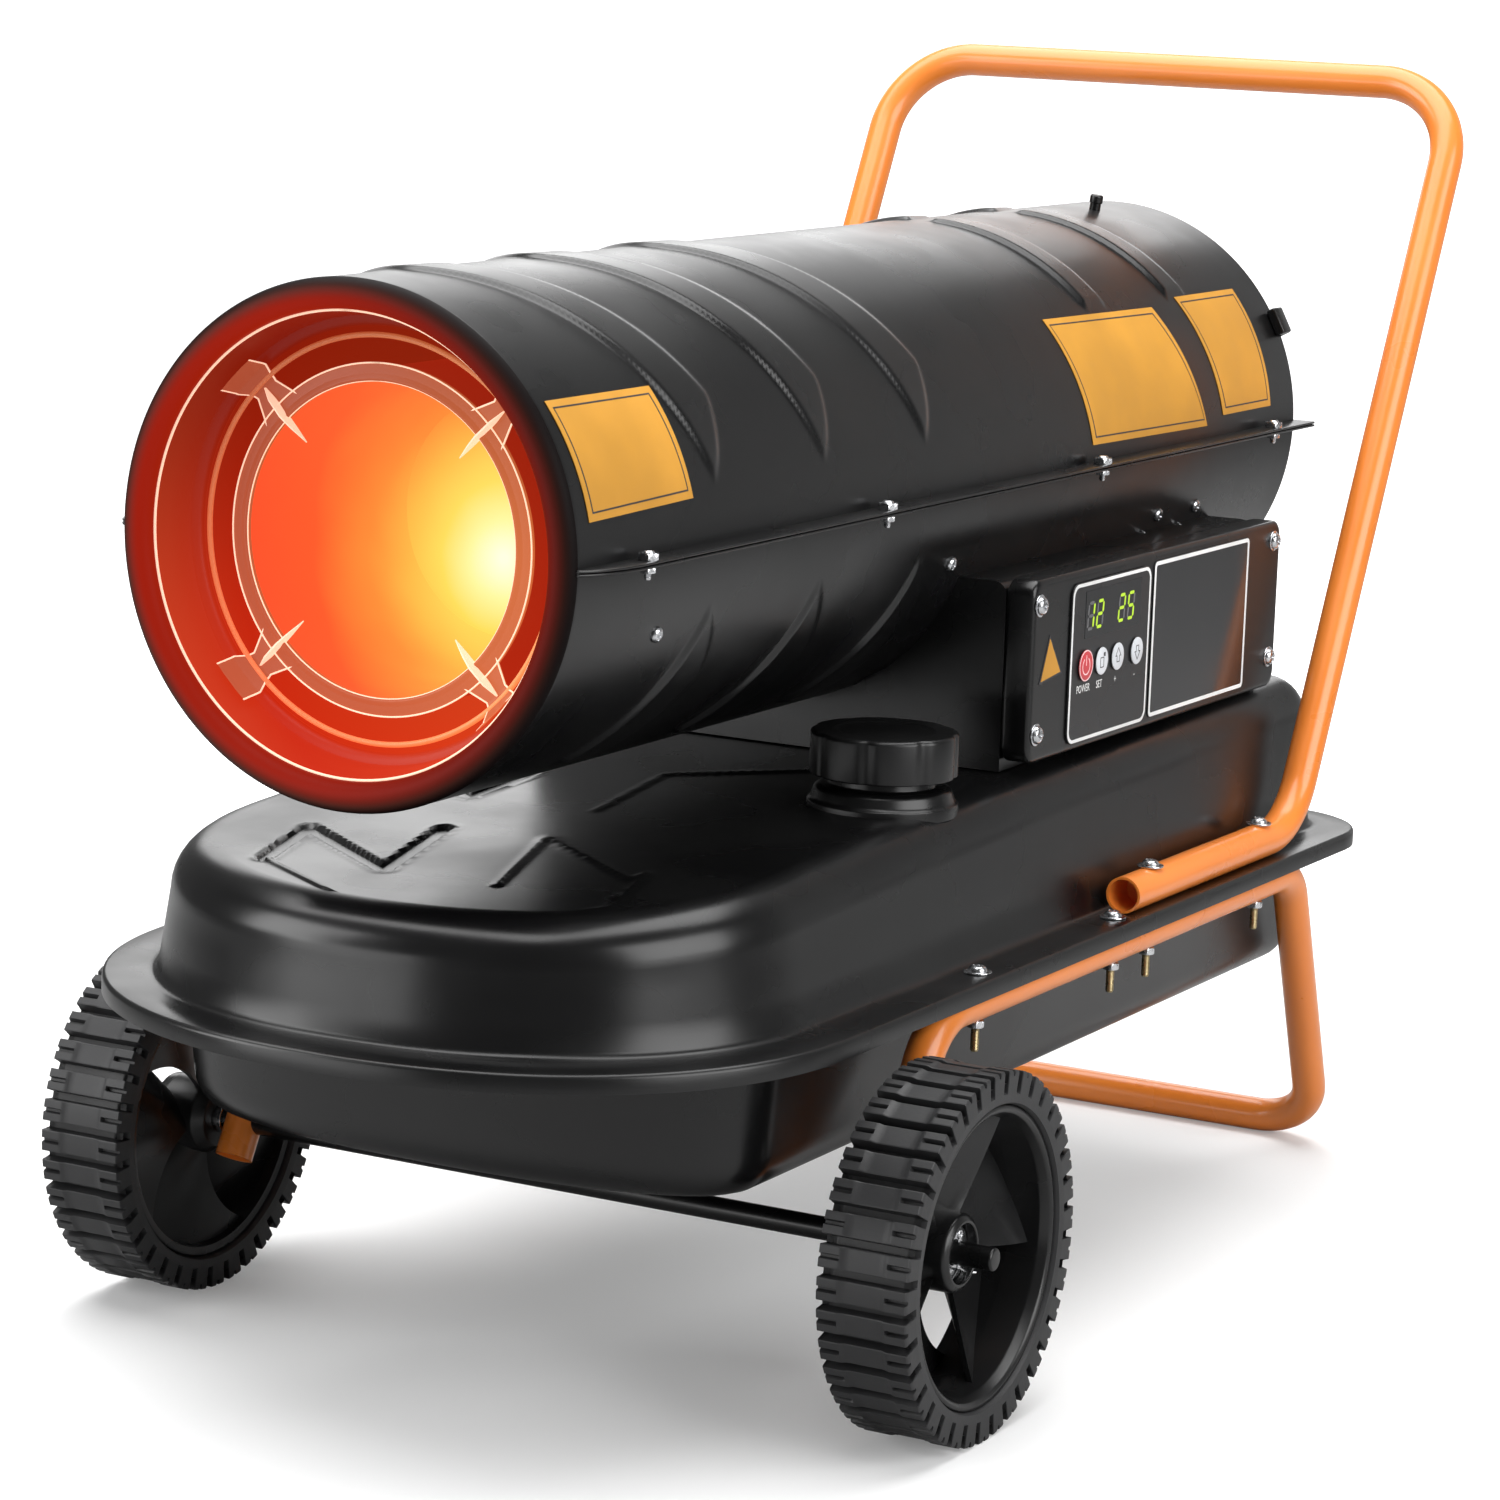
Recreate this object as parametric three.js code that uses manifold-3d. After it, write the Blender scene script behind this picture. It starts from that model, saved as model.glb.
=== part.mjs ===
// A wheeled diesel forced air heater: a ribbed steel drum with its burner and fan inside, on a pressed
// fuel tank with two wheels, a tube frame and a push handle.
// Millimetres. +Z is up, the outlet faces -Y, the control panel faces +X. x = 0 is the middle,
// y = 0 the middle of the overall length, z = 0 the floor.
import * as THREE from "three";
import { mergeVertices } from "three/addons/utils/BufferGeometryUtils.js";
import Module from "manifold-3d";

const wasm = await Module();
wasm.setup();

// ---- Driving dimensions ----
const seat = 0.3; // gap between pieces that rest on each other
const cut = 2; // how far a cutter runs past the face that it opens

// sheet metal
const tankSheet = 2;
const drumSheet = 1.6;
const innerSheet = 1.2;

// wheels and axle
const wheelRadius = 102;
const tyreWidth = 53;
const axleY = -270;
const axleRadius = 6.5;
const axleStub = 2; // axle end past the tyre's outer face
const lugCount = 36;
const lugDepth = 7;
const lugTop = 0.3; // half width of a lug as a share of the pitch, at its top and its foot
const lugFoot = 0.36;
const rimRadius = 83;
const rimRing = 7; // radial thickness of the rim's ring
const rimInset = 3; // rim's ring behind the tyre's face
const hubRadius = 22;
const hubLength = 36; // from the tyre's inner face
const hubRecess = 16.5; // radius of the recess in the hub's outer face
const hubRecessDepth = 8;
const bladeCount = 5;
const bladeSweep = 52; // degrees that one blade covers
const bladeThickness = 4;
const axleClearance = 0.35;

// fuel tank: two pressed pans joined at a flange
const tankHalfWidth = 192;
const tankFrontY = -501;
const tankRearY = 385;
const flangeWidth = 30;
const flangeTopZ = 228.5;
const flangeLip = 10.5;
const tankCorner = 34; // rear corner radius
const frontLength = 165; // length of the rounded front
const frontFullness = 2.2; // exponent of the front's superellipse
const tankKneeY = -70; // the tank top is steeper ahead of this line
const tankTopFrontZ = 296;
const tankTopKneeZ = 318;
const tankTopRearZ = 326;
const tankDraft = 6;
const shoulderRadius = 26;
const lowerPanInset = 5;
const lowerPanSetback = 76; // the lower pan's front lies behind the upper pan's
const lowerFrontLength = 60;
const lowerFrontFullness = 2.8;
const lowerPanBottomZ = 138;
const lowerPanRadius = 14;
const grooveDepth = 2.4;
const grooveWidth = 8;
const drainThread = 7;
const drainHead = 11;
const drainHeadHeight = 6;
const drainY = 235;

// filler neck and cap
const fillerX = tankHalfWidth - 58;
const fillerY = -140;
const neckRadius = 30;
const neckWall = 2.5;
const neckTopZ = 349;
const neckFootRadius = 49;
const capRadius = 42;
const capBottomZ = 330;
const capTopZ = 355;
const capWall = 4;
const capLobes = 8;
const gasketThickness = 1.5;

// tube frame and handle
const tubeRadius = 11;
const tubeWall = 1.5;
const tubeX = tankHalfWidth + 15.4; // over the flange
const wheelGap = 5.6; // frame tube to wheel
const wheelFaceX = tubeX + tubeRadius + wheelGap + tyreWidth; // outer face of the tyre
const bendRadius = 46;
const frameFrontY = -212; // where the front legs turn up under the flange
const frameRearY = 290; // where the rear legs turn down
const crossbarY = 433;
const crossbarInset = 30; // the rear legs lean in by this much
const legEnd = 22; // front leg past the axle's centre
const legNotch = 8; // depth of the V cut in the leg's end
const handleFootY = 34;
const handleBendY = 286;
const handleTopY = 520;
const handleTopZ = 704;
const handleBend = 56;

// frame bolts
const boltRadius = 2.5;
const boltHead = 5;
const boltHeadHeight = 3.2;
const washerRadius = 8;
const washerThickness = 1.2;
const nutRadius = 5;
const nutHeight = 4;
const threadEnd = 15;
const boltHole = 0.4; // clearance round a bolt
const flangeBoltsY = [-159, 21];
const handleBoltsY = [72, 237];

// drum
const drumRadius = 137;
const drumAxisZ = 482;
const drumSides = 40;
const drumFrontY = -495;
const drumRearY = 430;
const lipDepth = 8; // radius of the rolled front edge
const seamFlange = 14;
const seamFlangeFrontY = -440;
const seamFlangeOverhang = 3;
const ribHeight = 3;
const ribWidth = 44;
const ribPitch = 121;
const frontRibs = 3;
const frontRibY = -432; // leading edge of the first rib at the top
const ribSweep = 1.22; // mm back per degree
const ribSquare = 58; // degrees from the top where a rib starts to narrow
const ribTip = 76;
const rearRibs = 2;
const rearRibY = 140;
const rearRibWidth = 31;
const rearRibSweep = 0.52;
const rearRibEnd = 49;
const lowerRibs = 3;
const lowerRibEnd = 32; // degrees from the bottom line where the lower ribs stop
const studHeight = 10;
const studRadius = 3.6;
const studY = 358;

// burner inside the drum
const shieldRadius = 117;
const shieldFrontY = -486;
const shieldRearY = -20;
const beadRadius = 111;
const beadY = -456;
const chamberRadius = 88;
const chamberSides = 24;
const chamberFrontY = -456;
const chamberRearY = -60;
const outletRadius = 82;
const ringThickness = 2;
const armWidth = 12;
const armTab = 30;
const baffleY = -330;
const baffleRadius = 66;
const burnerRadius = 42;
const burnerRearY = 20;
const nozzleRadius = 8;
const nozzleLength = 34;
const nozzleRearY = burnerRearY + 18;
const igniterStart = 26; // ahead of the burner head's rear edge
const igniterWire = 18;
const electrodeRadius = 4;
const electrodeOffset = 20;
const photocellRadius = 6;

// fan, motor and pump
const fanY = 65;
const fanRadius = 122;
const fanHubRadius = 24;
const fanHubLength = 30;
const fanBlades = 5;
const fanBladeSweep = 44;
const fanBladePitch = 26; // rise of one blade along the axis
const shaftRadius = 5;
const shaftClearance = 0.3;
const motorFrontY = 100;
const motorRearY = 218;
const motorRadius = 46;
const pumpLength = 44;
const pumpRadius = 38;
const filterLength = 34;
const filterRadius = 44;
const bracketWidth = 22;
const bracketThickness = 3;

// rear guard
const guardInset = 8;
const guardThickness = 3;
const guardRings = 3;
const guardSpokes = 6;
const guardBar = 4;
const clipWidth = 18;
const clipHeight = 7;
const clipAngles = [62, 180, 298];

// support housing and control box
const housingFrontY = -40;
const housingRearY = 320;
const housingHalfWidth = tankHalfWidth - 34;
const housingTopZ = 430;
const coverFaceX = housingHalfWidth + 19;
const coverDepth = 14;
const coverBottomZ = 325;
const coverTopZ = 432;
const panelFrontY = 9;
const panelRearY = 121;
const panelBottomZ = 329;
const panelTopZ = 424;
const panelThickness = 1;
const displayFrontY = 26;
const displayRearY = 104;
const displayBottomZ = 391;
const displayTopZ = 419;
const displayDepth = 12;
const buttonRadius = 6.8;
const buttonFirstY = 31;
const buttonPitch = 23.7;
const buttonZ = 375;
const buttonProud = 1.6;
const buttonClearance = 0.35;
const buttonTravel = 0.8;
const buttonDepth = 9;
const boardThickness = 1.6;
const housingWall = 2;
const transformerX = housingHalfWidth - 58;
const transformerY = 230;
const transformerHalf = 30;
const glandX = housingHalfWidth - 38;
const glandZ = 372;

// fuel line
const fuelLineRadius = 4;
const fuelLineX = -70;
const fuelLineY = 30;
const pickupEndZ = 172;
const filterBodyRadius = 11;
const filterBodyHeight = 24;
const holeClearance = 1.5;

// ---- Colours ----
const finish = (colour, roughness, metalness) => () =>
  new THREE.MeshStandardMaterial({ color: colour, roughness, metalness });
const blackPaint = finish(0x17181a, 0.42, 0.3);
const orangePaint = finish(0xf08a2c, 0.35, 0.1);
const blackPlastic = finish(0x1b1b1c, 0.5, 0);
const rubber = finish(0x2a2a2b, 0.8, 0);
const zinc = finish(0xc9ccd0, 0.3, 0.9);
const hotSteel = finish(0xc4542a, 0.5, 0.6);
const cast = finish(0x8d9094, 0.55, 0.7);
const redPlastic = finish(0xc8343b, 0.4, 0);
const greyPlastic = finish(0xd5d8da, 0.45, 0);
const boardGreen = finish(0x1f6b3a, 0.6, 0);
const darkGlass = finish(0x0c1210, 0.15, 0);
const ceramic = finish(0xe8e4da, 0.5, 0);
const brass = finish(0xb9923f, 0.35, 0.9);

// ---- Shape helpers ----
const degrees = THREE.MathUtils.degToRad;
const vec = (x, y, z) => new THREE.Vector3(x, y, z);

// A closed geometry as a solid, with its shared vertices merged and its faces turned outwards.
function solid(geometry) {
  const bare = new THREE.BufferGeometry();
  const source = geometry.index ? geometry.toNonIndexed() : geometry;
  bare.setAttribute("position", source.getAttribute("position").clone());
  const merged = mergeVertices(bare, 1e-3);
  const corners = merged.index.array;
  const kept = [];
  for (let i = 0; i < corners.length; i += 3) {
    const [a, b, c] = corners.slice(i, i + 3);
    if (a !== b && b !== c && c !== a) kept.push(a, b, c);
  }
  const vertProperties = merged.attributes.position.array;
  const made = (triVerts) =>
    new wasm.Manifold(new wasm.Mesh({ numProp: 3, vertProperties, triVerts }));
  const first = made(new Uint32Array(kept));
  return first.volume() > 0 ? first : made(new Uint32Array(kept.reverse()));
}

function geometryOf(body) {
  const mesh = body.getMesh();
  const position = new Float32Array(mesh.numVert * 3);
  for (let i = 0; i < mesh.numVert; i++) {
    position.set(mesh.vertProperties.subarray(i * mesh.numProp, i * mesh.numProp + 3), i * 3);
  }
  const geometry = new THREE.BufferGeometry();
  geometry.setAttribute("position", new THREE.BufferAttribute(position, 3));
  geometry.setIndex(new THREE.BufferAttribute(mesh.triVerts, 1));
  geometry.computeVertexNormals();
  return geometry;
}

function block(x0, x1, y0, y1, z0, z1) {
  const geometry = new THREE.BoxGeometry(x1 - x0, y1 - y0, z1 - z0);
  return solid(geometry.translate((x0 + x1) / 2, (y0 + y1) / 2, (z0 + z1) / 2));
}

// A revolve about Y of a closed [radius, y] profile, or of one that starts and ends on the axis.
function revolve(profile, sides = 32) {
  const points = profile.map(([r, y]) => new THREE.Vector2(r, y));
  const onAxis = points[0].x === 0 && points[points.length - 1].x === 0;
  if (!onAxis) points.push(points[0].clone());
  return solid(new THREE.LatheGeometry(points, sides));
}

const upright = (body) => body.rotate([90, 0, 0]); // a revolve about Y turned to stand along +Z
const sideways = (body) => body.rotate([0, 0, -90]); // a revolve about Y turned to lie along +X

function disc(radius, y0, y1, sides = 16) {
  return revolve([[0, y0], [radius, y0], [radius, y1], [0, y1]], sides);
}

const rod = (radius, z0, z1, sides = 12) => upright(disc(radius, z0, z1, sides));
const pin = (radius, x0, x1, sides = 12) => sideways(disc(radius, x0, x1, sides));

function prism(shape, depth, settings = {}) {
  return solid(
    new THREE.ExtrudeGeometry(shape, { depth, bevelEnabled: false, curveSegments: 8, ...settings }),
  );
}

// A solid through a row of rings, each a loop of as many points. Each end is closed by a strip that
// runs between the loop's first half and its second half.
function loft(rings) {
  const count = rings[0].length;
  const position = rings.flat().flatMap((p) => p.toArray());
  const faces = [];
  for (let r = 0; r + 1 < rings.length; r++) {
    for (let i = 0; i < count; i++) {
      const j = (i + 1) % count;
      const [a, b, c, d] = [r * count + i, r * count + j, (r + 1) * count + j, (r + 1) * count + i];
      faces.push(a, b, c, a, c, d);
    }
  }
  const last = (rings.length - 1) * count;
  for (let i = 0, j = count - 1; i + 1 < j; i++, j--) {
    faces.push(i, j, i + 1, last + i, last + i + 1, last + j);
    if (i + 1 < j - 1) faces.push(i + 1, j, j - 1, last + i + 1, last + j - 1, last + j);
  }
  const geometry = new THREE.BufferGeometry();
  geometry.setAttribute("position", new THREE.BufferAttribute(new Float32Array(position), 3));
  geometry.setIndex(faces);
  return solid(geometry);
}

// A path of straight runs joined by round bends. Each straight is one step and each bend a few.
class BentPath extends THREE.Curve {
  constructor(corners, radius, bendSteps = 6) {
    super();
    this.stations = [{ at: corners[0], along: corners[1].clone().sub(corners[0]).normalize() }];
    for (let i = 1; i + 1 < corners.length; i++) {
      const into = corners[i].clone().sub(corners[i - 1]).normalize();
      const out = corners[i + 1].clone().sub(corners[i]).normalize();
      const angle = into.angleTo(out);
      const start = corners[i].clone().addScaledVector(into, -radius * Math.tan(angle / 2));
      const inward = out.clone().addScaledVector(into, -out.dot(into)).normalize();
      const centre = start.clone().addScaledVector(inward, radius);
      for (let s = 0; s <= bendSteps; s++) {
        const turn = (angle * s) / bendSteps;
        const at = centre.clone().addScaledVector(inward, -radius * Math.cos(turn));
        at.addScaledVector(into, radius * Math.sin(turn));
        const along = into.clone().multiplyScalar(Math.cos(turn));
        along.addScaledVector(inward, Math.sin(turn));
        this.stations.push({ at, along });
      }
    }
    const end = corners[corners.length - 1];
    this.stations.push({ at: end, along: end.clone().sub(corners[corners.length - 2]).normalize() });
  }
  get steps() {
    return this.stations.length - 1;
  }
  station(t) {
    return this.stations[Math.round(t * this.steps)];
  }
  getUtoTmapping(u) {
    return u;
  }
  getPoint(t) {
    return this.station(t).at.clone();
  }
  getTangent(t) {
    return this.station(t).along.clone();
  }
}

function bentTube(corners, radius, bend, sides = 12, bendSteps = 6) {
  const section = new THREE.Shape();
  section.absarc(0, 0, radius, 0, 2 * Math.PI);
  const path = new BentPath(corners, bend, bendSteps);
  return prism(section, 1, { steps: path.steps, extrudePath: path, curveSegments: sides / 2 });
}

function meshOf(name, body, material) {
  const mesh = new THREE.Mesh(geometryOf(body), material());
  mesh.name = name;
  return mesh;
}

const sides = [
  ["right", 1],
  ["left", -1],
];
const mirrorX = (body) => body.mirror([1, 0, 0]);

const heater = new THREE.Group();

// ---- Fuel tank ----
const tankTopAt = (y) =>
  y < tankKneeY
    ? THREE.MathUtils.mapLinear(y, tankFrontY, tankKneeY, tankTopFrontZ, tankTopKneeZ)
    : THREE.MathUtils.mapLinear(y, tankKneeY, tankRearY, tankTopKneeZ, tankTopRearZ);

// The tank's outline grown by an offset: a superellipse in front, straight sides, round rear corners.
const upperFront = { y: tankFrontY, length: frontLength, fullness: frontFullness };
const lowerFront = {
  y: tankFrontY + lowerPanSetback,
  length: lowerFrontLength,
  fullness: lowerFrontFullness,
};

function tankRing(offset, heightAt, frontSteps = 18, cornerSteps = 4, front = upperFront) {
  const half = tankHalfWidth + offset;
  const frontCentreY = front.y + front.length;
  const corner = Math.max(tankCorner + offset, 4);
  const outline = [];
  for (let i = 0; i <= frontSteps; i++) {
    const turn = Math.PI * (i / frontSteps);
    const power = 2 / front.fullness;
    const x = -Math.sign(Math.cos(turn)) * half * Math.abs(Math.cos(turn)) ** power;
    outline.push([x, frontCentreY - (front.length + offset) * Math.sin(turn) ** power]);
  }
  for (const side of [1, -1]) {
    if (side > 0) outline.push([half, tankKneeY]);
    for (let i = 0; i <= cornerSteps; i++) {
      const turn = (Math.PI / 2) * (side > 0 ? i / cornerSteps : 1 - i / cornerSteps);
      outline.push([
        side * (half - corner + corner * Math.cos(turn)),
        tankRearY + offset - corner + corner * Math.sin(turn),
      ]);
    }
  }
  outline.push([-half, tankKneeY]);
  outline.unshift(...outline.splice(frontSteps / 2)); // begins at the nose, so that left meets right
  return outline.map(([x, y]) => vec(x, y, heightAt(y)));
}

// The rings of a rounded shoulder from a wall's top up to a face, as [offset, drop below the face].
function shoulder(radius, steps) {
  return Array.from({ length: steps + 1 }, (_, i) => {
    const turn = ((Math.PI / 2) * i) / steps;
    return [-radius * (1 - Math.cos(turn)), radius * (1 - Math.sin(turn))];
  });
}

// The inside of a pan has fewer facets than its outside.
const facets = (thinner) => (thinner ? [12, 3] : [18, 4]);

function upperPanForm(thinner) {
  const lipBottom = flangeTopZ - flangeLip - (thinner ? cut : 0);
  const flangeZ = flangeTopZ - thinner;
  const ring = (offset, heightAt) => tankRing(offset, heightAt, ...facets(thinner));
  return loft([
    ring(flangeWidth - thinner, () => lipBottom),
    ring(flangeWidth - thinner, () => flangeZ - 2),
    ring(flangeWidth - thinner - 2, () => flangeZ),
    ring(3 - thinner, () => flangeZ),
    ring(-thinner, () => flangeZ + 3),
    ...shoulder(shoulderRadius - thinner, thinner ? 2 : 3).map(([inward, drop]) =>
      ring(inward - tankDraft - thinner, (y) => tankTopAt(y) - thinner - drop),
    ),
  ]);
}

// A pressed groove: round-ended bars along a line of [x, y] points, laid on the sloping tank top.
function grooveBars(points, width, highest, lowest) {
  const slope = Math.atan2(tankTopKneeZ - tankTopFrontZ, tankKneeY - tankFrontY);
  let bars = null;
  points.slice(1).forEach(([x1, y1], i) => {
    const [x0, y0] = points[i];
    const length = Math.hypot(x1 - x0, y1 - y0);
    const shape = new THREE.Shape();
    shape.absarc(0, 0, width / 2, Math.PI / 2, (3 * Math.PI) / 2);
    shape.absarc(length, 0, width / 2, -Math.PI / 2, Math.PI / 2);
    const bar = prism(shape, highest - lowest, { curveSegments: 2 })
      .translate([0, 0, lowest])
      .rotate([0, 0, THREE.MathUtils.radToDeg(Math.atan2(y1 - y0, x1 - x0))])
      .translate([x0, y0, 0]);
    bars = bars ? bars.add(bar) : bar;
  });
  return bars
    .translate([0, -tankFrontY, 0])
    .rotate([THREE.MathUtils.radToDeg(slope), 0, 0])
    .translate([0, tankFrontY, tankTopFrontZ]);
}

const tankGroove = [[-92, -418], [-112, -354], [-24, -412], [-48, -318]];

function boltHoles(stations, z0, z1) {
  let holes = null;
  for (const y of stations) {
    for (const [, side] of sides) {
      const hole = rod(boltRadius + boltHole, z0, z1, 6).translate([side * tubeX, y, 0]);
      holes = holes ? holes.add(hole) : hole;
    }
  }
  return holes;
}

function upperPan() {
  let pan = upperPanForm(0).subtract(upperPanForm(tankSheet));
  const backingWidth = grooveWidth + 2 * tankSheet;
  const backing = grooveBars(tankGroove, backingWidth, -tankSheet / 2, -tankSheet - grooveDepth);
  pan = pan.add(backing).subtract(grooveBars(tankGroove, grooveWidth, cut, -grooveDepth));
  const filler = rod(neckRadius - neckWall, flangeTopZ, capTopZ, 20).translate([fillerX, fillerY, 0]);
  const pickup = rod(fuelLineRadius + seat, flangeTopZ, capTopZ).translate([
    fuelLineX,
    fuelLineY,
    0,
  ]);
  const bolts = boltHoles([...flangeBoltsY, ...handleBoltsY], flangeTopZ - flangeLip, flangeTopZ + cut);
  return pan.subtract(filler).subtract(pickup).subtract(bolts);
}

const lowerFlangeTopZ = flangeTopZ - tankSheet - seat;
const lowerFlangeZ = lowerFlangeTopZ - tankSheet;
const lowerFlangeWidth = flangeWidth - tankSheet - 2;

function lowerPanForm(thinner) {
  const top = thinner ? lowerFlangeTopZ + cut : lowerFlangeTopZ;
  const wall = -lowerPanInset - thinner;
  const ring = (offset, height) => tankRing(offset, () => height, ...facets(thinner), lowerFront);
  const rings = shoulder(lowerPanRadius - thinner, thinner ? 2 : 3).map(([inward, rise]) =>
    ring(wall - tankDraft + inward, lowerPanBottomZ + thinner + rise),
  );
  return loft([...rings.reverse(), ring(wall, top)]);
}

function lowerPan() {
  const edge = (height) => tankRing(lowerFlangeWidth, () => height, ...facets(tankSheet));
  const flange = loft([edge(lowerFlangeZ), edge(lowerFlangeTopZ)]);
  const bolts = boltHoles([...flangeBoltsY, ...handleBoltsY], lowerFlangeZ - cut, flangeTopZ);
  const drain = rod(drainThread + seat, lowerPanBottomZ - cut, lowerPanBottomZ + tankSheet + cut);
  return lowerPanForm(0)
    .add(flange)
    .subtract(lowerPanForm(tankSheet))
    .subtract(bolts)
    .subtract(drain.translate([0, drainY, 0]));
}


function drainPlug() {
  const underside = lowerPanBottomZ - seat;
  const head = rod(drainHead, underside - drainHeadHeight, underside, 6);
  return head.add(rod(drainThread, underside - 1, lowerPanBottomZ + tankSheet + 4, 16));
}

// Everything below the tank's sloping top, raised by a gap.
function belowTankTop(gap) {
  const lowest = lowerPanBottomZ;
  const shape = new THREE.Shape();
  shape.moveTo(tankFrontY, lowest);
  shape.lineTo(tankRearY, lowest);
  shape.lineTo(tankRearY, tankTopAt(tankRearY) + gap);
  shape.lineTo(tankKneeY, tankTopKneeZ + gap);
  shape.lineTo(tankFrontY, tankTopAt(tankFrontY) + gap);
  const width = 2 * tankHalfWidth;
  return prism(shape, width).rotate([90, 0, 90]).translate([-tankHalfWidth, 0, 0]);
}

function fillerNeck() {
  const foot = tankTopAt(fillerY) - 4;
  const collarTop = capBottomZ - 3;
  const neck = upright(
    revolve(
      [
        [neckRadius - neckWall, foot],
        [neckFootRadius, foot],
        [neckFootRadius, tankTopAt(fillerY) + 3],
        [capRadius + 1, collarTop],
        [neckRadius, collarTop],
        [neckRadius, neckTopZ],
        [neckRadius - neckWall, neckTopZ],
      ],
      24,
    ),
  );
  return neck.translate([fillerX, fillerY, 0]).subtract(belowTankTop(seat));
}

function fuelCap() {
  const outline = new THREE.Shape();
  const perLobe = 4;
  const total = capLobes * perLobe;
  for (let i = 0; i < total; i++) {
    const turn = (2 * Math.PI * i) / total;
    const radius = capRadius - (i % perLobe === 0 ? 2.2 : 0);
    outline[i ? "lineTo" : "moveTo"](radius * Math.cos(turn), radius * Math.sin(turn));
  }
  const bevel = 2;
  const shell = prism(outline, capTopZ - capBottomZ - bevel, {
    bevelEnabled: true,
    bevelThickness: bevel,
    bevelSize: bevel,
    bevelOffset: -bevel,
    bevelSegments: 1,
  }).translate([0, 0, capBottomZ]);
  const skirt = block(-capRadius, capRadius, -capRadius, capRadius, capBottomZ - 2 * cut, capBottomZ);
  return shell
    .subtract(skirt)
    .subtract(rod(capRadius - capWall, capBottomZ - cut, capTopZ - capWall, 32));
}

function capGasket() {
  const bottom = neckTopZ + seat;
  const inner = neckRadius - neckWall - 2;
  return upright(
    revolve(
      [
        [inner, bottom],
        [neckRadius + 1, bottom],
        [neckRadius + 1, bottom + gasketThickness],
        [inner, bottom + gasketThickness],
      ],
      16,
    ),
  );
}

const tank = new THREE.Group();
tank.add(meshOf("tank_upper_pan", upperPan(), blackPaint));
tank.add(meshOf("tank_lower_pan", lowerPan(), blackPaint));
tank.add(meshOf("filler_neck", fillerNeck(), blackPaint));
const plug = meshOf("drain_plug", drainPlug(), zinc);
plug.position.set(0, drainY, 0);
const filler = new THREE.Group();
filler.position.set(fillerX, fillerY, 0);
filler.add(meshOf("fuel_cap", fuelCap(), blackPlastic));
filler.add(meshOf("cap_gasket", capGasket(), rubber));
tank.add(plug, filler);
heater.add(tank);

// ---- Frame and handle ----
const frameZ = lowerFlangeZ - seat - tubeRadius;
const handleZ = flangeTopZ + seat + tubeRadius;

// A short bore that opens the end of a tube, along the unit vector into the tube.
function endBore(end, into, depth = 30) {
  const bore = disc(tubeRadius - tubeWall, -cut, depth, 10);
  const turn = new THREE.Matrix4().makeRotationFromQuaternion(
    new THREE.Quaternion().setFromUnitVectors(vec(0, 1, 0), into),
  );
  turn.setPosition(end);
  return bore.transform(turn.toArray());
}

function frameTube() {
  const legTop = vec(tubeX, frameFrontY, frameZ);
  const axle = vec(tubeX, axleY, wheelRadius);
  const along = legTop.clone().sub(axle).normalize();
  const legFoot = axle.clone().addScaledVector(along, -legEnd);
  const rightSide = [
    legFoot,
    legTop,
    vec(tubeX, frameRearY, frameZ),
    vec(tubeX - crossbarInset, crossbarY, tubeRadius),
  ];
  const leftSide = rightSide.map((p) => vec(-p.x, p.y, p.z)).reverse();
  let tube = bentTube([...rightSide, ...leftSide], tubeRadius, bendRadius, 10, 4);
  const lean = THREE.MathUtils.radToDeg(Math.atan2(along.y, along.z));
  const notch = pin(legNotch, -tubeX - 2 * tubeRadius, tubeX + 2 * tubeRadius, 4).rotate([-lean, 0, 0]);
  tube = tube.subtract(notch.translate([0, legFoot.y, legFoot.z]));
  for (const [, side] of sides) {
    const end = vec(side * legFoot.x, legFoot.y, legFoot.z);
    tube = tube.subtract(endBore(end, vec(side * along.x, along.y, along.z), legNotch + 2));
  }
  const reach = tubeX + 2 * tubeRadius;
  const bore = pin(axleRadius + axleClearance, -reach, reach, 16).translate([0, axleY, wheelRadius]);
  return tube
    .subtract(bore)
    .subtract(boltHoles([...flangeBoltsY, ...handleBoltsY], frameZ - 2 * tubeRadius, flangeTopZ));
}

function handleTube() {
  const rightSide = [
    vec(tubeX, handleFootY, handleZ),
    vec(tubeX, handleBendY, handleZ),
    vec(tubeX, handleTopY, handleTopZ),
  ];
  const leftSide = rightSide.map((p) => vec(-p.x, p.y, p.z)).reverse();
  let tube = bentTube([...rightSide, ...leftSide], tubeRadius, handleBend, 10, 5);
  for (const [, side] of sides) {
    tube = tube.subtract(endBore(vec(side * tubeX, handleFootY, handleZ), vec(0, 1, 0)));
  }
  return tube.subtract(boltHoles(handleBoltsY, flangeTopZ - cut, handleZ + 2 * tubeRadius));
}

function axleRod() {
  const end = wheelFaceX + axleStub;
  const chamfer = 1.5;
  const profile = [
    [0, -end],
    [axleRadius - chamfer, -end],
    [axleRadius, chamfer - end],
    [axleRadius, end - chamfer],
    [axleRadius - chamfer, end],
    [0, end],
  ];
  let axle = sideways(revolve(profile, 16));
  for (const [, side] of sides) {
    axle = axle.subtract(rod(cotterHole, -2 * axleRadius, 2 * axleRadius, 8).translate([side * cotterX, 0, 0]));
  }
  return axle;
}

const wheelInnerX = wheelFaceX - tyreWidth;
const hubFaceX = wheelInnerX + hubLength;
const recessFaceX = hubFaceX - hubRecessDepth;
const axleWasherThickness = 2;
const cotterRadius = 1.4;
const cotterHole = cotterRadius + 0.3;
const cotterX = recessFaceX + axleWasherThickness + 2 * seat + cotterRadius + 1;

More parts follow.
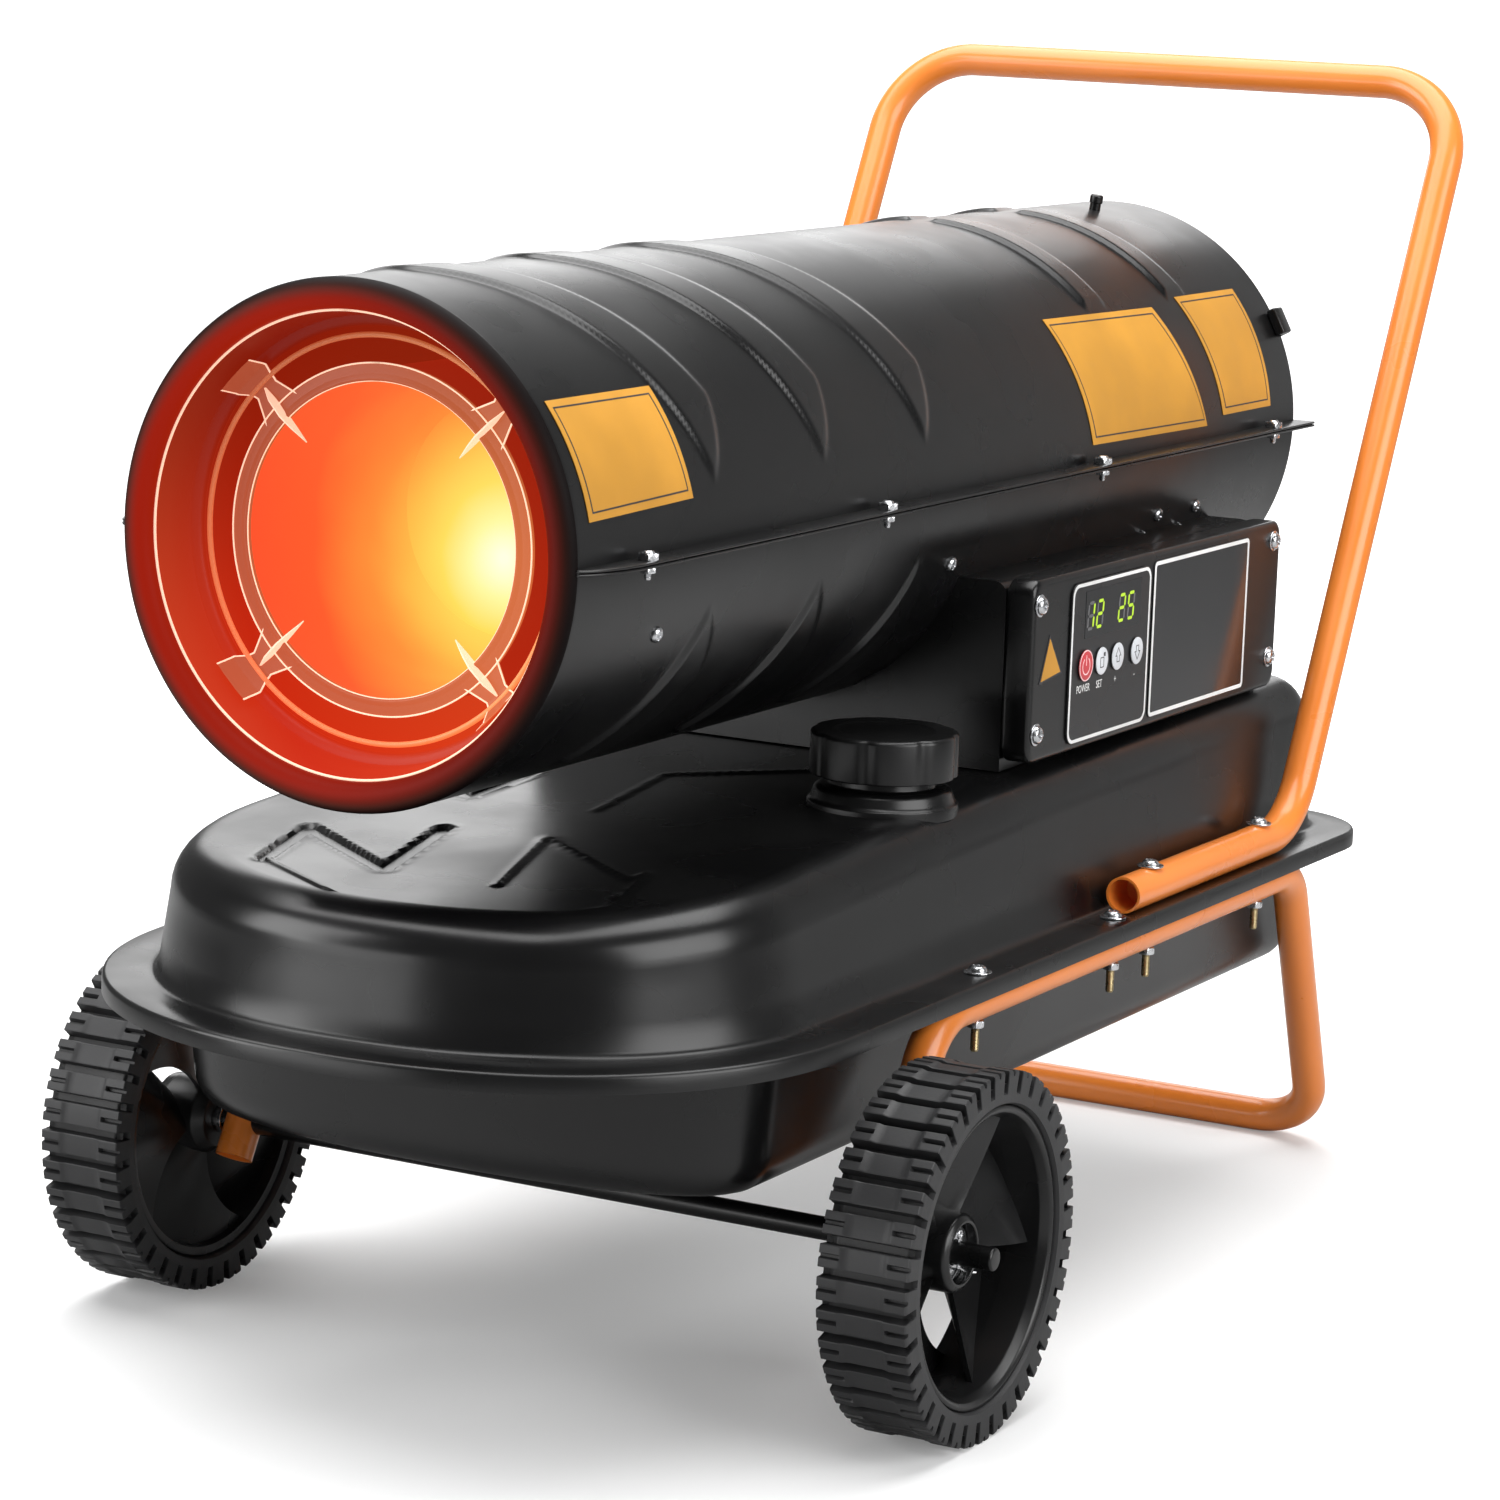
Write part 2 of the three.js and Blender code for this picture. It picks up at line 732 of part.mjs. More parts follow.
// A split pin through the axle with its two ends bent apart.
function cotterPin() {
  const reach = axleRadius + 2.5;
  const shank = rod(cotterRadius, -reach, reach, 8);
  const eye = pin(2.4, -1.2, 1.2, 10).translate([0, 0, reach + 1]);
  const bentEnd = rod(cotterRadius * 0.8, -7, 0, 6);
  return shank
    .add(eye)
    .add(bentEnd.rotate([40, 0, 0]).translate([0, 0, -reach + 1]))
    .add(bentEnd.rotate([-40, 0, 0]).translate([0, 0, -reach + 1]));
}

function axleWasher(radius, thickness) {
  const bore = axleRadius + axleClearance;
  return sideways(revolve([[bore, 0], [radius, 0], [radius, thickness], [bore, thickness]], 12));
}

const spacerStartX = tubeX + tubeRadius + seat;
const spacerLength = wheelInnerX - seat - spacerStartX;

// A frame bolt with its washer and nut: z = 0 is the seat of the washer, grip the distance to the nut.
function frameBolt(grip) {
  const head = upright(
    revolve(
      [
        [0, 0],
        [washerRadius, 0],
        [washerRadius, washerThickness],
        [boltHead, washerThickness],
        [boltHead * 0.6, washerThickness + boltHeadHeight],
        [0, washerThickness + boltHeadHeight],
      ],
      8,
    ),
  );
  const shank = rod(boltRadius, -grip - nutHeight - threadEnd, 1, 6);
  return head.add(shank).add(rod(nutRadius, -grip - nutHeight, -grip, 6));
}

const frameGroup = new THREE.Group();
frameGroup.add(meshOf("frame_tube", frameTube(), orangePaint));
frameGroup.add(meshOf("handle_tube", handleTube(), orangePaint));
const nutSeatZ = frameZ - tubeRadius - seat;
for (const [side, sign] of sides) {
  flangeBoltsY.forEach((y, i) => {
    const headZ = flangeTopZ + seat;
    const bolt = meshOf(`flange_bolt_${side}_${i + 1}`, frameBolt(headZ - nutSeatZ), zinc);
    bolt.position.set(sign * tubeX, y, headZ);
    frameGroup.add(bolt);
  });
  handleBoltsY.forEach((y, i) => {
    const headZ = handleZ + tubeRadius + seat;
    const bolt = meshOf(`handle_bolt_${side}_${i + 1}`, frameBolt(headZ - nutSeatZ), zinc);
    bolt.position.set(sign * tubeX, y, headZ);
    frameGroup.add(bolt);
  });
}
heater.add(frameGroup);

// ---- Wheels ----
// Built about X with x = 0 at the tyre's inner face; the outer face is at +x.
function tyre() {
  const root = wheelRadius - lugDepth;
  const pitch = (2 * Math.PI) / lugCount;
  const outline = new THREE.Shape();
  const at = (radius, turn) => [radius * Math.cos(turn), radius * Math.sin(turn)];
  for (let i = 0; i < lugCount; i++) {
    const middle = i * pitch;
    const corners = [
      at(root, middle - lugFoot * pitch),
      at(wheelRadius, middle - lugTop * pitch),
      at(wheelRadius, middle + lugTop * pitch),
      at(root, middle + lugFoot * pitch),
    ];
    corners.forEach((p, k) => outline[i + k ? "lineTo" : "moveTo"](...p));
  }
  const hole = new THREE.Path();
  for (let i = 0; i < lugCount; i++) hole[i ? "lineTo" : "moveTo"](...at(rimRadius + seat, i * pitch));
  outline.holes.push(hole);
  return prism(outline, tyreWidth).rotate([0, 90, 0]);
}

// One twisted blade of the wheel from the hub to the rim, a curved sheet that sweeps round and outwards.
function wheelBlade() {
  const steps = 3;
  const inner = hubRadius - 2;
  const outer = rimRadius - rimRing + 1.5;
  const rings = [];
  for (let i = 0; i <= steps; i++) {
    const share = i / steps;
    const radius = inner + (outer - inner) * share;
    const half = degrees(bladeSweep / 2) * (0.62 + 0.38 * share);
    const lean = degrees(14) * share;
    const ring = [];
    const across = 3;
    const skin = (offset) => {
      const line = [];
      for (let j = 0; j <= across; j++) {
        const s = j / across;
        const turn = lean - half + 2 * half * s;
        const bow = Math.sin(Math.PI * s) * 6 * share;
        const depth = 10 + (hubLength - 16) * s - bow + offset;
        line.push(vec(depth, radius * Math.cos(turn), radius * Math.sin(turn)));
      }
      return line;
    };
    ring.push(...skin(0), ...skin(bladeThickness).reverse());
    rings.push(ring);
  }
  return loft(rings);
}

function rim() {
  const ringOuter = rimRadius;
  const ringInner = rimRadius - rimRing;
  const ring = sideways(
    revolve(
      [
        [ringInner, rimInset],
        [ringOuter, rimInset],
        [ringOuter, tyreWidth - rimInset],
        [ringInner, tyreWidth - rimInset],
      ],
      lugCount,
    ),
  );
  const bore = axleRadius + axleClearance;
  const hub = sideways(
    revolve(
      [
        [bore, 0],
        [hubRadius - 4, 0],
        [hubRadius, 6],
        [hubRadius, hubLength - 5],
        [hubRadius - 3, hubLength],
        [hubRecess, hubLength],
        [hubRecess, hubLength - hubRecessDepth],
        [bore, hubLength - hubRecessDepth],
      ],
      16,
    ),
  );
  let wheel = ring.add(hub);
  const blade = wheelBlade();
  for (let i = 0; i < bladeCount; i++) {
    wheel = wheel.add(blade.rotate([(360 * i) / bladeCount, 0, 0]));
  }
  return wheel;
}

const axleMesh = meshOf("axle_rod", axleRod(), blackPaint);
axleMesh.position.set(0, axleY, wheelRadius);
heater.add(axleMesh);
for (const [side, sign] of sides) {
  const wheel = new THREE.Group();
  wheel.position.set(sign * wheelInnerX, axleY, wheelRadius);
  if (sign < 0) wheel.rotation.set(0, 0, Math.PI);
  wheel.add(meshOf(`tyre_${side}`, tyre(), rubber));
  wheel.add(meshOf(`wheel_rim_${side}`, rim(), blackPlastic));
  const washer = meshOf(`axle_washer_${side}`, axleWasher(hubRecess - 1.5, axleWasherThickness), zinc);
  washer.position.set(recessFaceX + seat - wheelInnerX, 0, 0);
  const cotter = meshOf(`cotter_pin_${side}`, cotterPin(), zinc);
  cotter.position.set(cotterX - wheelInnerX, 0, 0);
  const spacer = meshOf(`axle_spacer_${side}`, axleWasher(12, spacerLength), zinc);
  spacer.position.set(spacerStartX - wheelInnerX, 0, 0);
  wheel.add(washer, cotter, spacer);
  heater.add(wheel);
}

// ---- Drum ----
// Built about Y with z = 0 at the drum's axis.
// A pressed rib: a wedge with a crisp leading edge. Angles run from the top line, in degrees.
function rib(firstY, width, sweep, from, to, squareUntil) {
  const steps = Math.max(4, Math.round((to - from) / 8));
  const rings = [];
  const foot = drumRadius - drumSheet / 2;
  for (let i = 0; i <= steps; i++) {
    const angle = from + ((to - from) * i) / steps;
    const away = Math.abs(angle);
    const ease = 6;
    const leading = firstY + sweep * (Math.hypot(away, ease) - ease);
    const left = away <= squareUntil ? 1 : Math.max(0.04, (to - away) / (to - squareUntil));
    const turn = degrees(angle);
    const point = (radius, y) => vec(radius * Math.sin(turn), y, radius * Math.cos(turn));
    rings.push([
      point(foot, leading),
      point(drumRadius + ribHeight * left, leading + 1.5),
      point(drumRadius + ribHeight * left * 0.6, leading + 0.4 * width * left + 2),
      point(foot, leading + width * left + 3),
    ]);
  }
  return loft(rings);
}

function drumBarrel() {
  const steps = 2;
  const lip = [];
  const lipOf = (radius, reach) =>
    Array.from({ length: 2 * steps + 1 }, (_, i) => {
      const turn = (Math.PI * i) / (2 * steps);
      return [
        radius - lipDepth + reach * Math.cos(turn),
        drumFrontY + lipDepth - reach * Math.sin(turn),
      ];
    });
  lip.push(...lipOf(drumRadius, lipDepth));
  const inner = lipOf(drumRadius, lipDepth - drumSheet).reverse();
  const inside = drumRadius - drumSheet;
  const profile = [[drumRadius, drumRearY], ...lip, ...inner, [inside, drumRearY]];
  return revolve(profile, drumSides);
}

function seamFlangePlate(side, z0) {
  const shape = new THREE.Shape();
  const inner = drumRadius - drumSheet / 2;
  const outer = drumRadius + seamFlange;
  const rear = drumRearY + seamFlangeOverhang;
  const nose = 2 * seamFlange;
  shape.moveTo(inner, seamFlangeFrontY - nose);
  shape.quadraticCurveTo(outer, seamFlangeFrontY - 6, outer, seamFlangeFrontY);
  shape.lineTo(outer, rear);
  shape.lineTo(inner, rear);
  const plate = prism(shape, drumSheet, { curveSegments: 4 }).translate([0, 0, z0]);
  return side > 0 ? plate : mirrorX(plate);
}

const wide = 2 * drumRadius;

function drumUpperShell() {
  let shell = drumBarrel();
  for (let i = 0; i < frontRibs; i++) {
    shell = shell.add(rib(frontRibY + i * ribPitch, ribWidth, ribSweep, -ribTip, ribTip, ribSquare));
  }
  for (let i = 0; i < rearRibs; i++) {
    const half = rib(rearRibY + i * ribPitch, rearRibWidth, rearRibSweep, 3, rearRibEnd, rearRibEnd);
    shell = shell.add(half).add(mirrorX(half));
  }
  shell = shell.intersect(block(-wide, wide, 2 * drumFrontY, 2 * drumRearY, seat / 2, wide));
  for (const [, side] of sides) shell = shell.add(seamFlangePlate(side, seat / 2));
  return shell;
}

function drumLowerShell() {
  let shell = drumBarrel();
  for (let i = 0; i < lowerRibs; i++) {
    const leading = frontRibY + i * ribPitch;
    const from = lowerRibEnd;
    const half = rib(leading, ribWidth, ribSweep, from, ribTip, ribSquare).mirror([0, 0, 1]);
    shell = shell.add(half).add(mirrorX(half));
  }
  shell = shell.intersect(block(-wide, wide, 2 * drumFrontY, 2 * drumRearY, -wide, -seat / 2));
  for (const [, side] of sides) {
    shell = shell.add(seamFlangePlate(side, -seat / 2 - drumSheet));
  }
  const line = rod(fuelLineRadius + holeClearance, -wide, 0).translate([fuelLineX, fuelLineY, 0]);
  return shell.subtract(line);
}

function topStud() {
  const foot = drumRadius + seat;
  const profile = [
    [0, foot],
    [studRadius + 2, foot],
    [studRadius + 2, foot + 2],
    [studRadius, foot + 2],
    [studRadius, foot + studHeight - 1],
    [studRadius - 1, foot + studHeight],
    [0, foot + studHeight],
  ];
  return upright(revolve(profile, 14)).rotate([0, 8, 0]);
}

// The sleeve round the chamber, with a flared mouth and a bead that the ring's arms rest on.
function heatShield() {
  const mouth = (drumRadius - 2 * lipDepth) * Math.cos(Math.PI / drumSides) - seat - innerSheet;
  const wall = (grow) => [
    [mouth + grow, shieldFrontY],
    [shieldRadius + grow, shieldFrontY + 8],
    [shieldRadius + grow, beadY - 7],
    [beadRadius + grow + 1.5, beadY],
    [shieldRadius + grow, beadY + 7],
    [shieldRadius + grow, shieldRearY],
  ];
  return revolve([...wall(0), ...wall(innerSheet).reverse()], 24);
}

function combustionChamber() {
  const front = chamberFrontY + ringThickness + seat;
  const throat = burnerRadius + 3;
  const wall = (grow) => [
    [chamberRadius - grow, front],
    [chamberRadius - grow, chamberRearY - 20 - grow],
    [chamberRadius - 14 - grow, chamberRearY - grow],
    [throat, chamberRearY - grow],
  ];
  return revolve([...wall(0), ...wall(innerSheet).reverse()], chamberSides);
}

function outletRing() {
  const shape = new THREE.Shape();
  const tip = beadRadius;
  const half = armWidth / 2;
  const arms = 4;
  const armAngle = Math.asin(half / (chamberRadius + 1));
  for (let i = 0; i < arms; i++) {
    const middle = degrees(45 + 90 * i);
    const along = new THREE.Vector2(Math.cos(middle), Math.sin(middle));
    const across = new THREE.Vector2(-along.y, along.x);
    const at = (r, s) => along.clone().multiplyScalar(r).addScaledVector(across, s);
    const points = [
      at(tip - 7, -half),
      at(tip - 6, -armTab / 2),
      at(tip - 1, -armTab / 2),
      at(tip - 1, armTab / 2),
      at(tip - 6, armTab / 2),
      at(tip - 7, half),
    ];
    const from = middle - armAngle;
    if (i === 0) shape.moveTo((chamberRadius + 1) * Math.cos(from), (chamberRadius + 1) * Math.sin(from));
    points.forEach((p) => shape.lineTo(p.x, p.y));
    shape.absarc(0, 0, chamberRadius + 1, middle + armAngle, middle + Math.PI / 2 - armAngle);
  }
  const hole = new THREE.Path();
  hole.absarc(0, 0, outletRadius, 0, 2 * Math.PI, true);
  shape.holes.push(hole);
  let ring = prism(shape, ringThickness, { curveSegments: 6 });
  for (let i = 0; i < arms; i++) {
    const ribShape = new THREE.Shape();
    ribShape.moveTo(outletRadius - 16, 0);
    ribShape.lineTo(outletRadius + 2, 6);
    ribShape.lineTo(tip - 8, 4);
    ribShape.lineTo(tip - 4, 0);
    const gusset = prism(ribShape, ringThickness)
      .rotate([90, 0, 0])
      .translate([0, ringThickness / 2, ringThickness - 0.2])
      .rotate([0, 0, 45 + 90 * i]);
    ring = ring.add(gusset);
  }
  return ring.rotate([90, 0, 0]).translate([0, chamberFrontY + ringThickness, 0]);
}

// A dished plate on three tabs that turns the flame back inside the chamber.
function flameBaffle() {
  const dish = revolve(
    [
      [0, baffleY - 10],
      [baffleRadius * 0.6, baffleY - 7],
      [baffleRadius, baffleY],
      [baffleRadius, baffleY + ringThickness],
      [baffleRadius * 0.6, baffleY - 7 + ringThickness],
      [0, baffleY - 10 + ringThickness],
    ],
    20,
  );
  let baffle = dish;
  const reach = (chamberRadius - innerSheet) * Math.cos(Math.PI / chamberSides) - seat;
  for (let i = 0; i < 3; i++) {
    const tab = block(-7, 7, baffleY, baffleY + ringThickness, baffleRadius - 4, reach - 0.4);
    baffle = baffle.add(tab.rotate([0, 60 + 120 * i, 0]));
  }
  return baffle;
}

function burnerHead() {
  const front = chamberRearY - 14;
  const plate = 3;
  const inside = burnerRadius - 2;
  const cup = revolve(
    [
      [inside, front],
      [burnerRadius, front],
      [burnerRadius, chamberRearY + seat],
      [burnerRadius + 18, chamberRearY + seat],
      [burnerRadius + 18, chamberRearY + seat + 2],
      [burnerRadius, chamberRearY + seat + 2],
      [burnerRadius, burnerRearY],
      [0, burnerRearY],
      [0, burnerRearY - plate],
      [inside, burnerRearY - plate],
    ],
    20,
  );
  const bores = [
    [0, 0, nozzleRadius],
    [electrodeOffset, 10, electrodeRadius],
    [-electrodeOffset, 10, photocellRadius],
  ];
  const boreSides = 10;
  return bores.reduce((body, [x, z, r]) => {
    const bore = disc(r / Math.cos(Math.PI / boreSides) + seat, burnerRearY - 2 * plate, burnerRearY + cut, boreSides);
    return body.subtract(bore.translate([x, 0, z]));
  }, cup);
}

function fuelNozzle() {
  const front = burnerRearY - nozzleLength;
  return revolve(
    [
      [0, front],
      [3, front],
      [nozzleRadius - 1, front + 7],
      [nozzleRadius, front + 12],
      [nozzleRadius, nozzleRearY],
      [0, nozzleRearY],
    ],
    16,
  );
}

function igniter() {
  const wireEndY = burnerRearY - igniterStart - igniterWire;
  const body = disc(electrodeRadius, burnerRearY - igniterStart, burnerRearY + 10, 12);
  const wire = disc(1, wireEndY, burnerRearY - igniterStart + 1, 8);
  return body.add(wire);
}

const photocell = () => disc(photocellRadius, burnerRearY - 8, burnerRearY + 9, 14);

// One twisted fan blade: a curved plate that climbs along the axis as it sweeps round.
function fanBlade() {
  const steps = 3;
  const across = 4;
  const thick = 1.6;
  const rings = [];
  for (let i = 0; i <= steps; i++) {
    const share = i / steps;
    const radius = fanHubRadius - 2 + (fanRadius - fanHubRadius + 2) * share;
    const half = degrees(fanBladeSweep / 2) * (0.7 + 0.3 * Math.sin(Math.PI * (0.15 + 0.7 * share)));
    const pitch = fanBladePitch * (1 - 0.35 * share);
    const skin = (offset) =>
      Array.from({ length: across + 1 }, (_, j) => {
        const s = j / across - 0.5;
        const turn = 2 * half * s;
        const camber = (0.25 - s * s) * 8;
        return vec(radius * Math.sin(turn), pitch * s + camber + offset, radius * Math.cos(turn));
      });
    rings.push([...skin(0), ...skin(thick).reverse()]);
  }
  return loft(rings);
}

function fan() {
  const half = fanHubLength / 2;
  let body = revolve(
    [
      [0, -half - 6],
      [fanHubRadius * 0.7, -half - 3],
      [fanHubRadius, -half + 4],
      [fanHubRadius, half],
      [0, half],
    ],
    16,
  );
  const blade = fanBlade();
  for (let i = 0; i < fanBlades; i++) body = body.add(blade.rotate([0, (360 * i) / fanBlades, 0]));
  return body.subtract(disc(shaftRadius + shaftClearance, -half + 6, half + cut, 20)).translate([0, fanY, 0]);
}

const shaftFrontY = fanY - fanHubLength / 2 + 6 + seat;
const shaftRearY = motorFrontY + 24;
const motorShaft = () => disc(shaftRadius, shaftFrontY, shaftRearY, 20);

function motor() {
  const boss = 18;
  const body = revolve(
    [
      [0, motorFrontY + 30],
      [shaftRadius + shaftClearance, motorFrontY + 30],
      [shaftRadius + shaftClearance, motorFrontY - 6],
      [boss, motorFrontY - 6],
      [boss, motorFrontY],
      [motorRadius - 5, motorFrontY],
      [motorRadius, motorFrontY + 5],
      [motorRadius, motorRearY - 5],
      [motorRadius - 5, motorRearY],
      [0, motorRearY],
    ],
    24,
  );
  return body;
}

function motorBracket() {
  const middle = (motorFrontY + motorRearY) / 2;
  const inner = motorRadius + seat;
  let bracket = revolve(
    [
      [inner, middle - bracketWidth / 2],
      [inner + bracketThickness, middle - bracketWidth / 2],
      [inner + bracketThickness, middle + bracketWidth / 2],
      [inner, middle + bracketWidth / 2],
    ],
    24,
  );
  const reach = drumRadius - drumSheet - seat;
  const arms = 3;
  for (let i = 0; i < arms; i++) {
    const width = bracketWidth / 2;
    const top = block(
      -bracketThickness / 2,
      bracketThickness / 2,
      middle - width,
      middle + width,
      inner + 1,
      reach - 0.2,
    );
    const pad = block(-12, 12, middle - width, middle + width, reach - 4, reach + 4);
    bracket = bracket.add(top.add(pad).rotate([0, 60 + (360 * i) / arms, 0]));
  }
  return bracket.intersect(disc(reach, drumFrontY, drumRearY, drumSides));
}

function airPump() {
  const front = motorRearY + seat;
  const rear = front + pumpLength;
  return revolve(
    [
      [0, front],
      [pumpRadius, front],
      [pumpRadius, rear - 4],
      [pumpRadius - 4, rear],
      [0, rear],
    ],
    28,
  ).add(block(-8, 8, front + 10, front + 26, pumpRadius - 4, pumpRadius + 12));
}

function filterCover() {
  const front = motorRearY + 2 * seat + pumpLength;
  const rear = front + filterLength;
  let body = revolve(
    [
      [0, front],
      [filterRadius, front],
      [filterRadius, rear - 6],
      [filterRadius - 6, rear],
      [0, rear],
    ],
    28,
  );
  for (let i = 0; i < 6; i++) {
    const slot = block(-2, 2, rear - 8, rear + cut, 14, filterRadius - 10);
    body = body.subtract(slot.rotate([0, 60 * i, 0]));
  }
  return body;
}

// The intake grille: round bars crossed by spokes, with clips that hook over the drum's rear edge.
function rearGuard() {
  const outer = drumRadius - drumSheet - 2 * seat;
  const rear = drumRearY - guardInset;
  const pitch = (outer - guardBar) / guardRings;
  let guard = null;
  for (let i = 1; i <= guardRings; i++) {
    const r = i * pitch + guardBar;
    const front = rear - guardThickness;
    const profile = [[r - guardBar, front], [r, front], [r, rear], [r - guardBar, rear]];
    const ring = revolve(profile, 8 + 4 * i);
    guard = guard ? guard.add(ring) : ring;
  }
  for (let i = 0; i < guardSpokes / 2; i++) {
    const bar = block(-guardBar / 2, guardBar / 2, rear - guardThickness, rear, 1 - outer, outer - 1);
    guard = guard.add(bar.rotate([0, (360 * i) / guardSpokes, 0]));
  }
  for (const angle of clipAngles) {
    const back = drumRearY + seat;
    const half = clipWidth / 2;
    const web = block(-half, half, rear - 1, back + 3, outer - 5, outer - 1);
    const over = block(-half, half, back, back + 3, outer - 5, drumRadius + clipHeight);
    const hook = block(-half, half, back - 10, back + 3, drumRadius + seat + 0.4, drumRadius + clipHeight);
    guard = guard.add(web.add(over).add(hook).rotate([0, angle, 0]));
  }
  return guard;
}

const drum = new THREE.Group();
drum.position.set(0, 0, drumAxisZ);
const stud = meshOf("top_stud", topStud(), blackPlastic);
stud.position.set(0, studY, 0);
const sparkPlug = meshOf("igniter", igniter(), ceramic);
sparkPlug.position.set(electrodeOffset, 0, 10);
const flameEye = meshOf("flame_sensor", photocell(), blackPlastic);
flameEye.position.set(-electrodeOffset, 0, 10);
drum.add(
  meshOf("drum_upper_shell", drumUpperShell(), blackPaint),
  meshOf("drum_lower_shell", drumLowerShell(), blackPaint),
  stud,
  meshOf("heat_shield", heatShield(), hotSteel),
  meshOf("combustion_chamber", combustionChamber(), hotSteel),
  meshOf("outlet_ring", outletRing(), hotSteel),
  meshOf("flame_baffle", flameBaffle(), hotSteel),
  meshOf("burner_head", burnerHead(), zinc),
  meshOf("fuel_nozzle", fuelNozzle(), brass),
  sparkPlug,
  flameEye,
  meshOf("fan", fan(), blackPlastic),
  meshOf("motor_shaft", motorShaft(), zinc),
  meshOf("motor", motor(), cast),
  meshOf("motor_bracket", motorBracket(), blackPaint),
  meshOf("air_pump", airPump(), cast),
  meshOf("air_filter_cover", filterCover(), blackPlastic),
  meshOf("rear_guard", rearGuard(), blackPaint),
);
heater.add(drum);

// ---- Support housing and control box ----
const coverBackX = coverFaceX - coverDepth;

// The housing's section across the heater: a box whose top is cut out for the drum.
function housingForm(thinner) {
  const half = housingHalfWidth - thinner;
  const corner = 8;
  const shape = new THREE.Shape();
  const top = housingTopZ - thinner;
  shape.moveTo(-half, flangeTopZ);
  shape.lineTo(half, flangeTopZ);
  shape.lineTo(half, top - corner);
  shape.absarc(half - corner, top - corner, corner, 0, Math.PI / 2);
  shape.lineTo(-half + corner, top);
  shape.absarc(-half + corner, top - corner, corner, Math.PI / 2, Math.PI);
  const length = housingRearY - housingFrontY - 2 * thinner;
  return prism(shape, length, { curveSegments: 3 })
    .rotate([90, 0, 0])
    .translate([0, housingRearY - thinner, 0]);
}

function supportHousing() {
  const outside = housingForm(0).subtract(belowTankTop(seat));
  const hollow = housingForm(housingWall);
  const saddle = disc(drumRadius + seat, housingFrontY - cut, housingRearY + cut, drumSides);
  const lift = drumAxisZ;
  const outerSaddle = drumRadius + seat + housingWall;
  const innerSaddle = disc(outerSaddle, housingFrontY - cut, housingRearY + cut, drumSides);
  const shell = outside.subtract(hollow.subtract(innerSaddle.translate([0, 0, lift])));
  const opening = block(
    coverBackX - 30,
    coverBackX + cut,
    housingFrontY + 14,
    housingRearY - 14,
    coverBottomZ + 8,
    coverTopZ - 22,
  );
  const line = rod(filterBodyRadius + holeClearance, flangeTopZ, drumAxisZ).translate([
    fuelLineX,
    fuelLineY,
    0,
  ]);
  return shell.subtract(saddle.translate([0, 0, lift])).subtract(opening).subtract(line);
}

function roundedPlate(y0, y1, z0, z1, radius) {
  const shape = new THREE.Shape();
  shape.moveTo(y0 + radius, z0);
  shape.lineTo(y1 - radius, z0);
  shape.absarc(y1 - radius, z0 + radius, radius, -Math.PI / 2, 0);
  shape.lineTo(y1, z1 - radius);
  shape.absarc(y1 - radius, z1 - radius, radius, 0, Math.PI / 2);
  shape.lineTo(y0 + radius, z1);
  shape.absarc(y0 + radius, z1 - radius, radius, Math.PI / 2, Math.PI);
  shape.lineTo(y0, z0 + radius);
  shape.absarc(y0 + radius, z0 + radius, radius, Math.PI, 1.5 * Math.PI);
  return shape;
}

const plateAt = (shape, x0, x1) =>
  prism(shape, x1 - x0, { curveSegments: 3 })
    .rotate([90, 0, 90])
    .translate([x0, 0, 0]);

const buttonYs = [0, 1, 2, 3].map((i) => buttonFirstY + i * buttonPitch);

function buttonHoles(x0, x1, radius) {
  return buttonYs
    .map((y) => pin(radius, x0, x1, 12).translate([0, y, buttonZ]))
    .reduce((all, hole) => all.add(hole));
}

function displayBox(x0, x1, grow) {
  return block(
    x0,
    x1,
    displayFrontY - grow,
    displayRearY + grow,
    displayBottomZ - grow,
    displayTopZ + grow,
  );
}

const coverFrontY = housingFrontY - 2;
const coverRearY = housingRearY + 2;

// A shallow tray over the housing's open side.
function controlCover() {
  const outside = roundedPlate(coverFrontY, coverRearY, coverBottomZ, coverTopZ, 3);
  const inside = roundedPlate(
    coverFrontY + housingWall,
    coverRearY - housingWall,
    coverBottomZ + housingWall,
    coverTopZ - housingWall,
    1.5,
  );
  const tray = plateAt(outside, housingHalfWidth + seat, coverFaceX);
  const hollow = plateAt(inside, housingHalfWidth - cut, coverFaceX - housingWall);
  return tray
    .subtract(hollow)
    .subtract(buttonHoles(coverFaceX - 2 * housingWall, coverFaceX + cut, buttonRadius + 1.5))
    .subtract(displayBox(coverFaceX - 2 * housingWall, coverFaceX + cut, seat));
}

const panelBackX = coverFaceX + seat;
const panelFaceX = panelBackX + panelThickness;

function controlPanel() {
  const shape = roundedPlate(panelFrontY, panelRearY, panelBottomZ, panelTopZ, 5);
  return plateAt(shape, panelBackX, panelFaceX)
    .subtract(buttonHoles(panelBackX - cut, panelFaceX + cut, buttonRadius + buttonClearance))
    .subtract(displayBox(panelBackX - cut, panelFaceX + cut, seat));
}

const boardFaceX = panelFaceX - displayDepth - seat;
const switchGap = buttonTravel + 0.4;
const buttonBackX = panelFaceX - buttonDepth;

function displayModule() {
  return displayBox(boardFaceX + seat, panelFaceX + 0.2, 0);
}

function circuitBoard() {
  const edge = 8;
  const board = block(
    boardFaceX - boardThickness,
    boardFaceX,
    displayFrontY - edge,
    displayRearY + edge,
    buttonZ - 3 * edge,
    displayTopZ - edge,
  );
  const switches = buttonHoles(boardFaceX - boardThickness / 2, buttonBackX - switchGap, 3);
  return board.add(switches);
}

